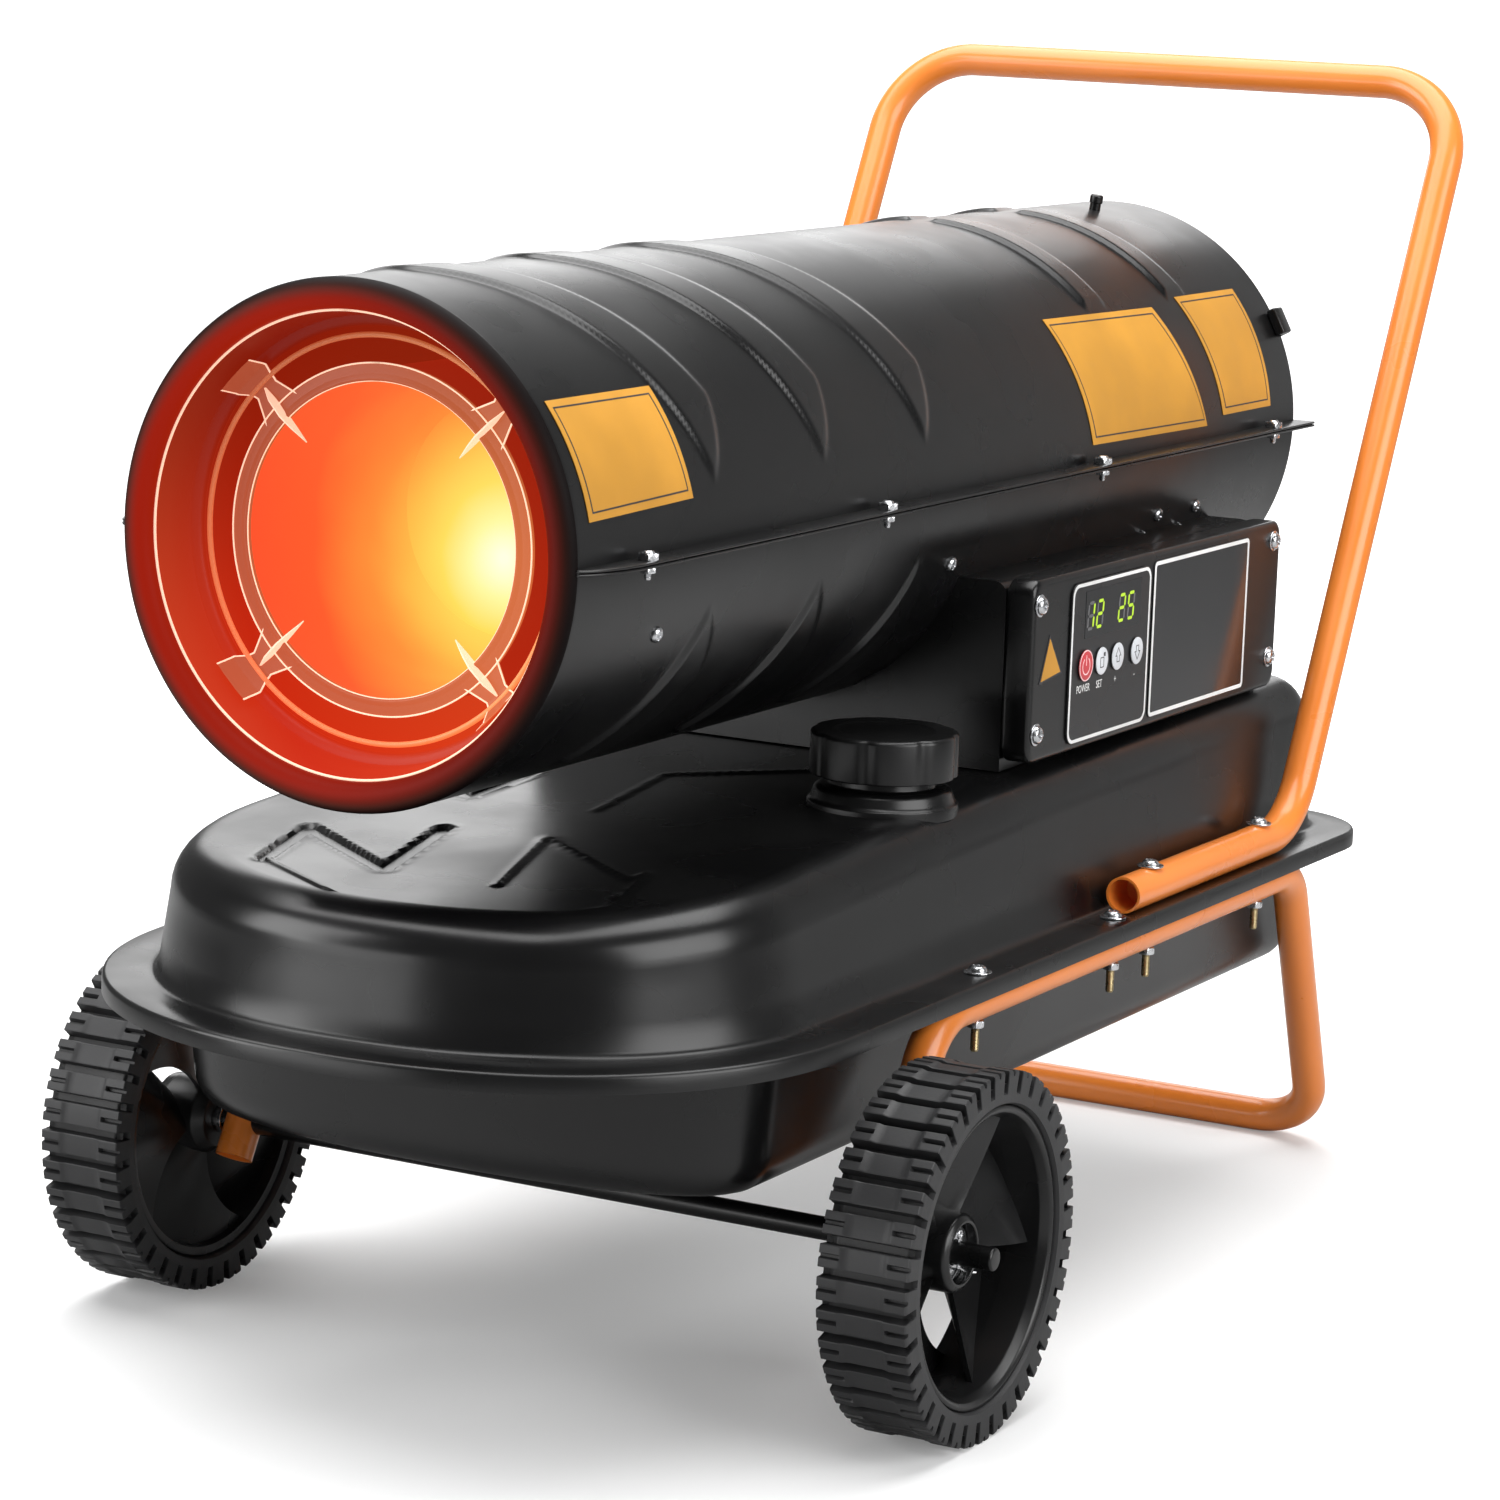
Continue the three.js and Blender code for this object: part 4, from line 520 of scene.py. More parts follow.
def drumShell(first, last, ribs):
    # a half barrel: round its lip at the front, with the ribs' height added to the radius of both skins
    skin, thin, lip = drum["radius"], drum["sheet"], drum["lip"]
    middle, lipY = skin - lip, drum["front"] + lip
    straight = np.arange(lipY, drum["rear"] + 0.01, 1.6)
    bend = np.radians(np.linspace(0, 180, 13))
    lipOuter, lipInner = [np.stack([middle + r * np.cos(bend), lipY - r * np.sin(bend)], 1)
                          for r in (lip, lip - thin)]
    curl = np.array([[skin - 2 * lip, lipY + drum["curl"]], [skin - 2 * lip + thin, lipY + drum["curl"]]])
    outer = np.stack([np.full(len(straight), skin), straight], 1)[::-1]
    inner = np.stack([np.full(len(straight), skin - thin), straight], 1)
    profile = np.vstack([outer, lipOuter[1:], curl, lipInner[::-1][:-1], inner])
    angle = np.linspace(first, last, 141)[:, None]
    radius = profile[:, 0] + drum["ribHeight"] * ribs(angle, profile[:, 1]) * (profile[:, 0] > skin - 3)
    t = np.radians(angle)
    surface = np.stack([radius * np.sin(t), profile[:, 1] + 0 * t, drum["axisZ"] + radius * np.cos(t)], -1)
    return surface, False, True


def seamPlate(side, low, high):
    # the joint's flange: a strip whose front end sweeps out of the shell
    length = drum["flangeRear"] - drum["flangeFront"]
    y = np.concatenate([np.linspace(-49, -2, 24), np.linspace(0, length, 80)]) + drum["flangeFront"]
    out = drum["flange"] * smooth((y - drum["flangeFront"] + 50) / 46) ** 0.3
    inner = np.full(len(y), drum["radius"] - 1.0)
    outer = drum["radius"] + out
    turn = 0.8
    ring = [(inner, high), (outer - turn, high), (outer - 0.25, high - 0.25), (outer, high - turn),
            (outer, low + turn), (outer - 0.25, low + 0.25), (outer - turn, low), (inner, low)]
    surface = np.stack([np.stack([x * side, y, np.full(len(y), drum["axisZ"] + z)], 1) for x, z in ring], 1)
    return surface, False, True


half = np.degrees(drum["gap"] / 2 / drum["radius"])
sheet, gap = drum["sheet"], drum["gap"]
halves = {
    "drumTop": ("drum_upper_shell", drumShell(-90 + half, 90 - half, upperRibs), gap / 2, gap / 2 + sheet),
    "drumBottom": ("drum_lower_shell", drumShell(90 + half, 270 - half, lowerRibs), -gap / 2 - sheet, -gap / 2),
}
for name, (node, shell, low, high) in halves.items():
    flanges = [seamPlate(side, low, high) for _, side in bothSides]
    makePiece(name, [shell] + flanges, "heater", blackPaint, [node], crease=30, ends=True)
print("drum shells made")

# offsets go outwards from the tank's wall: the flange stands out by its width, the draft leads inwards
tank = {
    "halfWidth": 192.0, "front": -501.0, "rear": 385.0, "corner": 34.0,
    "flange": 30.0, "flangeTop": 228.5, "lip": 10.5, "draft": 6.0, "shoulder": 26.0, "sheet": 2.0,
    "kneeY": -70.0, "ease": 1.6, "topFront": 296.0, "topKnee": 318.0, "topRear": 326.0,
    "inset": 5.0, "bottom": 138.0, "bottomRadius": 22.0, "lowerFlange": 26.0, "lowerFlangeTop": 226.2,
}
# the noses of the outlines: the upper pan's left front corner is a little rounder than its right one
upperFront = {"y": -501.0, "length": 165.0, "fullness": 2.2}
leftFront = {"y": -501.0, "length": 188.0, "fullness": 2.12}
lowerFront = {"y": -425.0, "length": 80.0, "fullness": 2.25}


def tankTop(y):
    # two slopes that meet in a soft bend: the smaller of both, eased by tank["ease"] in height where they cross
    front, knee, rear = tank["front"], tank["kneeY"], tank["rear"]
    steep = tank["topFront"] + (tank["topKnee"] - tank["topFront"]) * (y - front) / (knee - front)
    gentle = tank["topKnee"] + (tank["topRear"] - tank["topKnee"]) * (y - knee) / (rear - knee)
    apart = (steep - gentle) / tank["ease"]
    return gentle - tank["ease"] * np.log1p(np.exp(-np.clip(apart, -30, 30)))


def tankSides(offset, nose=upperFront):
    # right-hand points from the nose to the rear corner: a superellipse, a straight side and a quarter circle
    wide = tank["halfWidth"] + offset
    reach = nose["length"] + offset
    power = 2 / nose["fullness"]
    middle = nose["y"] + nose["length"]
    t = np.radians(90 * (1 - np.linspace(0, 1, 71) ** 1.15))
    front = np.stack([wide * np.abs(np.cos(t)) ** power, middle - reach * np.sin(t) ** power], 1)
    front[0, 0] = 0
    corner = max(tank["corner"] + offset, 4)
    side = np.linspace(middle, tank["rear"] - tank["corner"], 150)[1:]
    a = np.radians(np.linspace(0, 90, 12))[1:]
    rear = np.stack([wide - corner + corner * np.cos(a), tank["rear"] + offset - corner + corner * np.sin(a)], 1)
    return np.vstack([front, np.stack([np.full(len(side), wide), side], 1), rear])


across = np.linspace(-1, 1, 121)


def tankRing(offset, nose=upperFront):
    # the whole outline: the right side, the rear edge and the left side back to the nose
    right = tankSides(offset, nose)
    rear = np.stack([-across[1:-1] * right[-1, 0], np.full(len(across) - 2, right[-1, 1])], 1)
    left = tankSides(offset, leftFront if nose is upperFront else nose)[:0:-1] * (-1, 1)
    return np.vstack([right, rear, left])


def polylineDistance(x, y, points):
    # distance to the nearest of a chain of straight lines
    nearest = np.full(np.shape(x + y), 1e9)
    for (px, py), (qx, qy) in zip(points, points[1:]):
        dx, dy = qx - px, qy - py
        t = np.clip(((x - px) * dx + (y - py) * dy) / (dx * dx + dy * dy), 0, 1)
        nearest = np.minimum(nearest, np.hypot(x - px - t * dx, y - py - t * dy))
    return nearest


emboss = {
    "grooves": [[(-88, -428), (-107, -358), (-20, -416), (-42, -322)], [(-98, -230), (-70, -252), (-72, -184)]],
    "outlines": [
        [(-92, -415), (-83, -432), (11, -486), (82, -482), (124, -421), (106, -357)],
        [(50, -415), (17, -311), (103, -369), (104, -352)],
        [(9, -244), (-3, -148), (85, -76)],
    ],
}


def embossing(x, y):
    # wide rounded grooves and thin raised outlines pressed into the tank's top
    height = 0 * (x + y)
    for line in emboss["grooves"]:
        away = polylineDistance(x, y, line)
        height = height - 3.4 * (1 - smooth((away - 2.6) / 3.0)) + 0.7 * np.exp(-((away - 6.6) / 1.5) ** 2)
    for line in emboss["outlines"]:
        height = height + 1.3 * (1 - smooth(polylineDistance(x, y, line) / 3.4))
    return height


def upperPan():
    f, top, lip = tank["flange"], tank["flangeTop"], tank["lip"]
    radius, draft, thin = tank["shoulder"], tank["draft"], tank["sheet"]
    edge = [(f - thin, top - lip), (f, top - lip), (f, top - 2.5), (f - 0.75, top - 0.7), (f - 2.6, top),
            (14, top), (6, top), (3.5, top + 0.4), (1.4, top + 1.6), (0, top + 4.2)]
    rings = [atHeight(tankRing(o), z) for o, z in edge]
    bend = np.radians(np.linspace(0, 90, 10))
    for share in (0.35, 0.7):
        ring = tankRing(-share * draft)
        wall = tankTop(tankRing(0)[:, 1]) - radius
        rings.append(atHeight(ring, (top + 4.2) * (1 - share) + wall * share))
    for b in bend:
        inward = radius * (1 - np.cos(b))
        ring = tankRing(-draft - inward)
        rings.append(atHeight(ring, tankTop(ring[:, 1]) - radius * (1 - np.sin(b))))
    skin = np.array(rings)
    rim, left = tankSides(-draft - radius), tankSides(-draft - radius, leftFront)
    wide = np.where(across < 0, left[:, :1], rim[:, :1])
    x = wide * across
    y = rim[:, 1:] + (left[:, 1:] - rim[:, 1:]) * np.maximum(-across, 0)
    edgeFade = smooth((wide - np.abs(x)) / 12.0)
    lid = np.stack([x, y, tankTop(y) + embossing(x, y) * edgeFade], -1)
    inner = [(f - thin, top - lip), (f - thin, top - thin - 0.6), (f - thin - 1, top - thin), (1, top - thin),
             (-thin, top + 1)]
    under = [atHeight(tankRing(o), z) for o, z in inner]
    for inward, down in ((thin, radius), (radius, thin)):
        ring = tankRing(-draft - inward)
        under.append(atHeight(ring, tankTop(ring[:, 1]) - down))
    ceiling = np.stack([x, y, tankTop(y) - thin], -1)
    return [(skin, False, True), (lid, False, False), (np.array(under), False, True), (ceiling, False, False)]


def lowerPan():
    # the flange follows the upper pan's outline, and the pan below it starts further back
    high, wide, wall = tank["lowerFlangeTop"], tank["lowerFlange"], -tank["inset"]
    thin, radius, draft, low = tank["sheet"], tank["bottomRadius"], tank["draft"], tank["bottom"]
    rim = [(wide - 0.6, high), (wide, high - 0.6), (wide, high - thin + 0.6), (wide - 0.6, high - thin)]
    wallRings = [(wall + 4, high - thin), (wall + 1, high - thin - 1), (wall, high - thin - 4)]
    bend = np.radians(np.linspace(0, 90, 8))
    wallRings += [(wall - draft - radius * (1 - np.cos(b)), low + radius * (1 - np.sin(b))) for b in bend]
    inner = [(wall - draft - radius, low + thin), (wall - draft - thin, low + radius), (wall - thin, high)]
    outer = [atHeight(tankRing(o), z) for o, z in rim]
    outer += [atHeight(tankRing(o, lowerFront), z) for o, z in wallRings]
    inside = [atHeight(tankRing(o, lowerFront), z) for o, z in inner]
    edge = tankSides(wall - draft - radius, lowerFront)
    x = edge[:, :1] * across
    y = edge[:, 1:] + 0 * x
    floor = [np.stack([x, y, z + 0 * x], -1) for z in (low, low + thin)]
    skin = np.array(outer)
    under = np.array(inside + outer[:1])
    return [(skin, False, True), (floor[0], False, False), (under, False, True), (floor[1], False, False)]


makePiece("tankUpperPan", upperPan(), "heater", blackPaint, ["tank_upper_pan"], crease=50)
makePiece("tankLowerPan", lowerPan(), "heater", blackPaint, ["tank_lower_pan"], crease=50)

filler = {"x": 134.0, "y": -140.0, "neck": 30.0, "neckWall": 2.5, "neckTop": 349.0, "cap": 42.0,
          "capBottom": 330.0, "capTop": 355.0, "lobes": 8}
place = (filler["x"], filler["y"], 0)
foot = tankTop(np.array(filler["y"])) + 0.3
inside, outside = filler["neck"] - filler["neckWall"], filler["neck"]
neckProfile = rounded([(inside, foot - 6), (inside, filler["neckTop"]), (outside, filler["neckTop"]),
                       (outside, foot + 9.5), (36, foot + 9.5), (39, foot + 8), (41, foot + 2), (43, foot + 0.6),
                       (43, foot - 6)], [0, 0.8, 0.8, 1.5, 2, 3, 4, 1, 0], 4)
makePiece("fillerNeck", [revolved(neckProfile, 96, "z", place, closed=True)], "heater", blackPaint,
          ["filler_neck"])
gasket = [(inside + 0.4, 349.3), (outside + 3, 349.3), (outside + 3, 350.7), (inside + 0.4, 350.7)]


def fuelCap():
    # a turned cap whose rim has shallow finger flutes: the radius dips at each flute
    low, high, radius, wall = filler["capBottom"], filler["capTop"], filler["cap"], 4.0
    profile = rounded([(0, high - 0.6), (radius * 0.62, high - 0.6), (radius * 0.68, high), (radius, high),
                       (radius, low), (radius - wall, low), (radius - wall, high - wall), (0, high - wall)],
                      [0, 3, 3, 2.6, 1.0, 1.0, 1, 0], 6)
    surface, wrapRows, wrapColumns = revolved(profile, 240, "z")
    turn = turns(240)[:, None]
    phase = np.mod(turn * filler["lobes"] / (2 * np.pi) + 0.2, 1) - 0.5
    dip = 1.5 * np.exp(-(phase / 0.11) ** 2)
    rim = np.clip((profile[:, 0] - radius + 5) / 4, 0, 1) * (profile[:, 1] < high + 0.1)
    outer = np.where(profile[:, 0] > radius - 3, rim, 0)
    share = 1 - dip * outer / np.maximum(profile[:, 0], 1)
    surface[..., :2] *= share[..., None]
    return surface + np.array(place), wrapRows, wrapColumns


makePiece("fuelCap", [fuelCap()], "cap", blackPlastic, ["fuel_cap"])
print("tank made")

frameTube = {"radius": 11.0, "x": 207.4, "bend": 46.0, "front": -212.0, "rear": 290.0, "crossbar": 433.0,
             "inset": 30.0, "z": 212.9, "axleY": -270.0, "axleZ": 102.0, "legEnd": 22.0}
handleTube = {"foot": 34.0, "bendY": 286.0, "topY": 520.0, "topZ": 704.0, "z": 239.8, "bend": 56.0, "wall": 1.5}


def bothEnds(rightSide):
    return rightSide + [(-x, y, z) for x, y, z in reversed(rightSide)]


legTop = np.array((frameTube["x"], frameTube["front"], frameTube["z"]))
axle = np.array((frameTube["x"], frameTube["axleY"], frameTube["axleZ"]))
lean = (legTop - axle) / np.linalg.norm(legTop - axle)
legFoot = tuple(axle - lean * frameTube["legEnd"])
rearTop = (frameTube["x"], frameTube["rear"], frameTube["z"])
rearFoot = (frameTube["x"] - frameTube["inset"], frameTube["crossbar"], frameTube["radius"] + 0.15)
framePath = bentPath(bothEnds([legFoot, tuple(legTop), rearTop, rearFoot]), frameTube["bend"], 22, spacing=14)
handleCorners = []
for y, z in (("foot", "z"), ("bendY", "z"), ("topY", "topZ")):
    handleCorners.append((frameTube["x"], handleTube[y], handleTube[z]))
handlePath = bentPath(bothEnds(handleCorners), handleTube["bend"], 26, spacing=16)


def pipe(name, path, depth, stands):
    # a bent pipe: its outer skin, and its bore a short way in at both ends
    outer, forward = roundSkin(path, frameTube["radius"], np.array((0.3, 0.2, 1.0)), 32)
    share = (frameTube["radius"] - handleTube["wall"]) / frameTube["radius"]
    bores = []
    for k, step in ((0, 1), (-1, -1)):
        middle = path[k]
        into = forward[k] * step * depth
        bore = middle + (outer[k] - middle) * share
        bores.append([np.broadcast_to(middle + into, bore.shape), bore + into, bore,
                      middle + (outer[k] - middle) * (1 + share) / 2])
    surface = np.concatenate([np.array(bores[0]), outer, np.array(bores[1][::-1])])
    makePiece(name, [(surface, False, True)], "heater", orangePaint, [stands], crease=40)


pipe("frameTube", framePath, 10, "frame_tube")
pipe("handleTube", handlePath, 26, "handle_tube")
print("tubes made")

wheel = {"radius": 102.0, "width": 53.0, "face": 277.0, "y": -270.0, "rim": 83.0, "lugs": 36, "lugDepth": 7.0,
         "hub": 22.0, "hubLength": 36.0, "recess": 16.5, "recessDepth": 8.0, "bore": 6.9, "blades": 5,
         "bladeSweep": 88.0, "bladeRoot": 19.5, "bladeSheet": 3.2}


def tyreSurface():
    # radius and width over one pitch of the tread, repeated: bars with slotted ends, and pockets in the sidewall
    spots = np.array([-0.5, -0.44, -0.385, -0.36, -0.345, -0.325, -0.3, -0.285, -0.2, -0.115, -0.09, -0.07, -0.045,
                      0, 0.045, 0.07, 0.09, 0.115, 0.2, 0.285, 0.3, 0.325, 0.345, 0.36, 0.385, 0.44])
    turn = (np.arange(wheel["lugs"])[:, None] + spots).ravel() * 2 * np.pi / wheel["lugs"]
    spot = np.tile(spots, wheel["lugs"])[:, None]
    root, top, face = wheel["radius"] - wheel["lugDepth"], wheel["radius"], wheel["width"] / 2
    tread = np.array([0, 4, 8, 11, 12.5, 14, 15, 16, 19, 22, 24, 25.0, 25.8])
    half = np.vstack([np.stack([tread, np.full(len(tread), top)], 1),
                      [(face - 0.3, top - 0.5), (face, top - 1.4), (face, 98), (face, 95.2), (face, 94),
                       (face, 92.5), (face, 91), (face, 90.2), (face, 89.2), (face - 0.4, 86), (face - 0.5, 84.4),
                       (face - 1.6, 83.9), (face - 2.6, 83.4), (face - 6, 83.3)]])
    x, radius = np.vstack([half[::-1], half[1:] * (-1, 1)]).T
    bar = 1 - smooth((np.abs(spot) - 0.34) / 0.045)
    crown = 1.0 * smooth((np.abs(x) - 11) / 3.0) - 1.0
    slot = (1 - smooth((np.abs(spot) - 0.048) / 0.035)) * smooth((np.abs(x) - 14.0) / 1.2)
    height = bar * (wheel["lugDepth"] + crown * (radius > root)) - 3.2 * slot * bar
    surfaceRadius = np.where(radius > root, root + np.minimum(radius - root, height), radius)
    pocket = smooth((radius - 89.6) / 1.2) * (1 - bar) * 4.5
    width = np.sign(x) * (np.abs(x) - np.where(np.abs(x) > face - 0.6, pocket, 0))
    t = turn[:, None]
    return np.stack([width + 0 * t, surfaceRadius * np.sin(t), -surfaceRadius * np.cos(t)], -1), True, True


def bladeSurface():
    # each ring across the blade runs from the edge near the wheel's face to the edge deep in the wheel
    share = np.linspace(0, 1, 22)[:, None]
    s = np.linspace(0, 1, 25)
    radius = wheel["bladeRoot"] + (wheel["rim"] - 6.0 - wheel["bladeRoot"]) * share
    spread = np.radians(wheel["bladeSweep"] / 2) * (0.60 + 0.40 * share)
    middle = np.radians(16) * share ** 1.3
    turn = middle - spread + 2 * spread * s
    bow = np.sin(np.pi * s) * (3.0 + 7.0 * share)
    depth = 8 + (wheel["hubLength"] - 20 + 11 * share) * (1 - s) - bow * 0.8
    skins = []
    for offset in (0, wheel["bladeSheet"]):
        skins.append(np.stack([depth + offset + 0 * turn, radius * np.cos(turn), radius * np.sin(turn)], -1))
    return closedSheet(*skins)


def wheelRim():
    barrel = rounded([(77.5, 4), (82.6, 3), (82.9, 50), (80.5, 50.6), (78.5, 49.5), (76.5, 44), (75.5, 26),
                      (76.5, 10), (77.5, 4)], [0, 1, 1.2, 1.5, 2.5, 6, 8, 6, 0], 6)
    bore, end, floor = wheel["bore"], wheel["hubLength"], wheel["hubLength"] - wheel["recessDepth"]
    hub = rounded([(bore, 0), (17, 0), (wheel["hub"], 6), (wheel["hub"], 28), (21.5, 34), (wheel["hub"] - 4, end),
                   (wheel["recess"], end), (wheel["recess"] - 0.5, floor), (bore, floor), (bore, 0)],
                  [0, 2, 3, 3, 3.5, 2, 1.2, 0.6, 0, 0], 6)
    return [revolved(barrel, 144, "x"), revolved(hub, 64, "x")]


def placedOn(side, grid):
    # from the wheel's own frame, x outwards from its inner face, to its place on the axle
    surface, wrapRows, wrapColumns = grid
    moved = surface + np.array((wheel["face"] - wheel["width"], 0, 0))
    moved = moved * np.array((side, 1, 1)) + np.array((0, wheel["y"], wheel["radius"]))
    return moved, wrapRows, wrapColumns


blade, bore = bladeSurface(), wheel["bore"]
for name, side in bothSides:
    surface, wrapRows, wrapColumns = tyreSurface()
    tyre = (surface + np.array((wheel["width"] / 2, 0, 0)), wrapRows, wrapColumns)
    makePiece("tyre_" + name, [placedOn(side, tyre)], "wheel_" + name, tyreRubber, ["tyre_" + name],
              crease=38)
    makePiece("wheelRim_" + name, [placedOn(side, g) for g in wheelRim()], "wheel_" + name, wheelPlastic,
              ["wheel_rim_" + name], crease=40)
    petals = [turned(blade, 360 * i / wheel["blades"] + 20, "x") for i in range(wheel["blades"])]
    makePiece("wheelBlades_" + name, [placedOn(side, g) for g in petals], "wheel_" + name, wheelPlastic,
              crease=50, ends=True)
    washer = rounded([(bore, 28.3), (15.2, 28.3), (15.2, 30.3), (bore, 30.3), (bore, 28.3)], 0.5, 4)
    makePiece("axleWasher_" + name, [placedOn(side, revolved(washer, 48, "x"))], "heater", zincPlate,
              ["axle_washer_" + name])
print("wheels made")

end = wheel["face"] + 2.0
rodProfile = rounded([(0, -end), (6.5, -end), (6.5, end), (0, end)], [0, 1.6, 1.6, 0], 6)
axleRod = revolved(rodProfile, 40, "x", (0, wheel["y"], wheel["radius"]))
makePiece("axleRod", [axleRod], "heater", blackPaint, ["axle_rod"])


def wire(points, radius, bend, count=10):
    # a bent wire whose ends close on their middle points
    path = bentPath(points, bend, 7)
    rings, _ = roundSkin(path, radius, np.array((0.31, 0.47, 0.83)), count)
    ends = [np.broadcast_to(path[k], (count, 3)) for k in (0, -1)]
    return np.array([ends[0], *rings, ends[1]]), False, True


for name, side in bothSides:
    x = side * 257.0
    y, z = wheel["y"], wheel["radius"]
    pins = [wire([(x, y + 0.7, z + 9), (x, y + 0.7, z - 8.4), (x, y + 11, z - 13.5),
                  (x + side * 3, y + 15.5, z - 14)], 0.75, 2.0),
            wire([(x, y - 0.7, z + 9), (x, y - 0.7, z - 8.4), (x, y - 8, z - 12.5),
                  (x + side * 2, y - 14, z - 13)], 0.75, 2.0),
            torus(2.0, 0, 0.75, 10, 24, "x", (x, y, z + 10.5))]
    makePiece("cotterPin_" + name, pins, "heater", zincPlate, ["cotter_pin_" + name])
print("axle made")

burner = {"shield": 117.0, "shieldRear": -20.0, "beadY": -456.0, "chamber": 88.0, "chamberFront": -456.0,
          "chamberRear": -60.0, "outlet": 82.0, "thin": 1.2}
middle = (0, 0, drum["axisZ"])


def sheetWall(line, thin, count=120):
    # a turned sheet: the line (radius, y), and the same line a wall thickness further out
    line = np.array(line, float)
    along = np.gradient(line, axis=0)
    out = np.stack([-along[:, 1], along[:, 0]], 1)
    out /= np.linalg.norm(out, axis=1)[:, None]
    out *= np.sign(out[:, :1] + 1e-9)
    return revolved(np.vstack([line, (line + out * thin)[::-1]]), count, "y", middle, closed=True)


beadArc = np.radians(np.linspace(-90, 90, 9))
bead = [(burner["shield"] - 1.0 - 5.5 * np.cos(a), burner["beadY"] + 4.6 * np.sin(a)) for a in beadArc]
mouthLine = [(119.8, -486.0), (119.6, -483), (118.6, -477), (117.4, -469), (117, -464)]
straightLine = [(burner["shield"], y) for y in (-448, -300, -150, burner["shieldRear"])]
shieldLine = mouthLine + bead + straightLine
makePiece("heatShield", [sheetWall(shieldLine, burner["thin"], 144)], "heater", shieldFireLight,
          ["heat_shield"], crease=60)
chamberLine = rounded([(burner["chamber"] - burner["thin"], burner["chamberFront"] + 2.4),
                       (burner["chamber"] - burner["thin"], -80), (73, burner["chamberRear"] - 1),
                       (45, burner["chamberRear"] - 1)], [0, 6, 6, 0], 6)
makePiece("combustionChamber", [sheetWall(chamberLine, burner["thin"], 96)], "heater", flameGlow,
          ["combustion_chamber"], crease=50)
dish = rounded([(0, -340), (40, -337), (66, -330), (66, -328), (40, -335), (0, -338)], [0, 20, 0.8, 0.8, 20, 0], 6)
makePiece("flameBaffle", [revolved(dish, 96, "y", middle)], "heater", flameGlow, ["flame_baffle"])


def outletRing():
    # the ring: a rolled inner edge and a slightly raised outer edge; the arms: strips bent on to the bead
    ring = rounded([(burner["outlet"], -454), (burner["outlet"], -457.2), (burner["outlet"] + 1.2, -458.2),
                    (86, -457), (91.5, -456.4), (91.5, -454)], [0, 1, 1, 2, 0.8, 0], 5)
    grids = [revolved(ring, 144, "y", middle, closed=True)]
    path = rounded([(84, -456.2), (104, -456.2), (110.5, -463), (113.8, -473.5)], [0, 5, 4, 0], 6)
    along = np.concatenate([[0], np.cumsum(np.hypot(*np.diff(path, axis=0).T))])
    width = np.interp(along, [0, 5, 10, 16, 22, 26, 40], [30, 19, 15, 14, 17, 24, 24])
    fins = []
    for i in range(4):
        angle = np.radians(45 + 90 * i)
        out, side = np.array((np.sin(angle), 0, np.cos(angle))), np.array((np.cos(angle), 0, -np.sin(angle)))
        axis = np.array((0, 1, 0))
        base = path[:, :1] * out + path[:, 1:] * axis + np.array(middle)
        strip = []
        for across, lift in ((-1, 0), (-0.5, 0), (0.5, 0), (1, 0), (1, 1.5), (0.5, 1.5), (-0.5, 1.5), (-1, 1.5)):
            curl = (1 - np.sqrt(np.clip(1 - (across * width / 2 / 113) ** 2, 0, 1))) * 113
            strip.append(base + across * (width / 2)[:, None] * side - curl[:, None] * out + lift * axis)
        grids.append((np.stack(strip, 1), False, True))
        fin = np.array([(66, -456.5), (76, -460.5), (84, -462.5), (95, -461.5), (103, -457.5)])
        foot = np.stack([fin[:, 0], np.full(len(fin), -456.0)], 1)
        thick = np.array([0.3, 1.0, 1.3, 1.2, 0.4])[:, None]
        ringOf = []
        for line, t in ((foot, -1), (fin, -0.35), (fin, 0.35), (foot, 1)):
            ringOf.append(line[:, :1] * out + line[:, 1:] * axis + t * thick * side + np.array(middle))
        fins.append((np.stack(ringOf, 1), False, True))
    return grids, fins


rings, fins = outletRing()
makePiece("outletRing", rings[:1], "heater", ringFireLight, ["outlet_ring"], crease=50)
makePiece("outletArms", rings[1:], "heater", ringFireLight, crease=50, ends=True)
# the fins carry painted highlights
makePiece("outletFins", fins, "heater", edgeHighlight, crease=60, ends=True)
# a thin sheet just over the drum's rolled lip that carries its painted fire light
turn = np.radians(np.linspace(8, 188, 25))
lipRadius, lipY = drum["radius"] - drum["lip"], drum["front"] + drum["lip"]
lipSkin = []
for reach in (drum["lip"] + 0.05, drum["lip"] + 0.3):
    lipSkin.append(np.stack([lipRadius + reach * np.cos(turn), lipY - reach * np.sin(turn)], 1))
lipProfile = np.vstack([lipSkin[0], lipSkin[1][::-1]])
makePiece("lipFireLight", [revolved(lipProfile, 180, "y", middle, closed=True)], "heater", lipFireLight, crease=40)
# thin wires that carry painted highlights: along the mouth's rim, the ring's two edges and both edges of each arm
highlightWires = [torus(120.2, -486.3, 0.75, 10, 180, "y", middle)]
highlightWires += [torus(radius, -456.9, 0.45, 8, 144, "y", middle) for radius in (burner["outlet"] + 0.2, 91.4)]
for i in range(4):
    strip = rings[1 + i][0]
    for column in (0, 3):
        line = strip[:, column]
        sideways = np.cross(line[-1] - line[0], (0.0, 1.0, 0.0))
        sideways /= np.linalg.norm(sideways)
        t = turns(8)
        section = 0.5 * (np.cos(t)[:, None] * np.array((0.0, 1.0, 0.0)) + np.sin(t)[:, None] * sideways)
        highlightWires.append((line[:, None, :] + section[None], False, True))
makePiece("edgeHighlightWires", highlightWires, "heater", edgeHighlight, crease=60, ends=True)
# a wire on the shield's bead that carries a painted highlight
makePiece("beadHighlightWire", [torus(105.8, burner["beadY"] - 1.4, 1.5, 10, 180, "y", middle)], "heater", beadHighlight,
          crease=60)
print("mouth made")


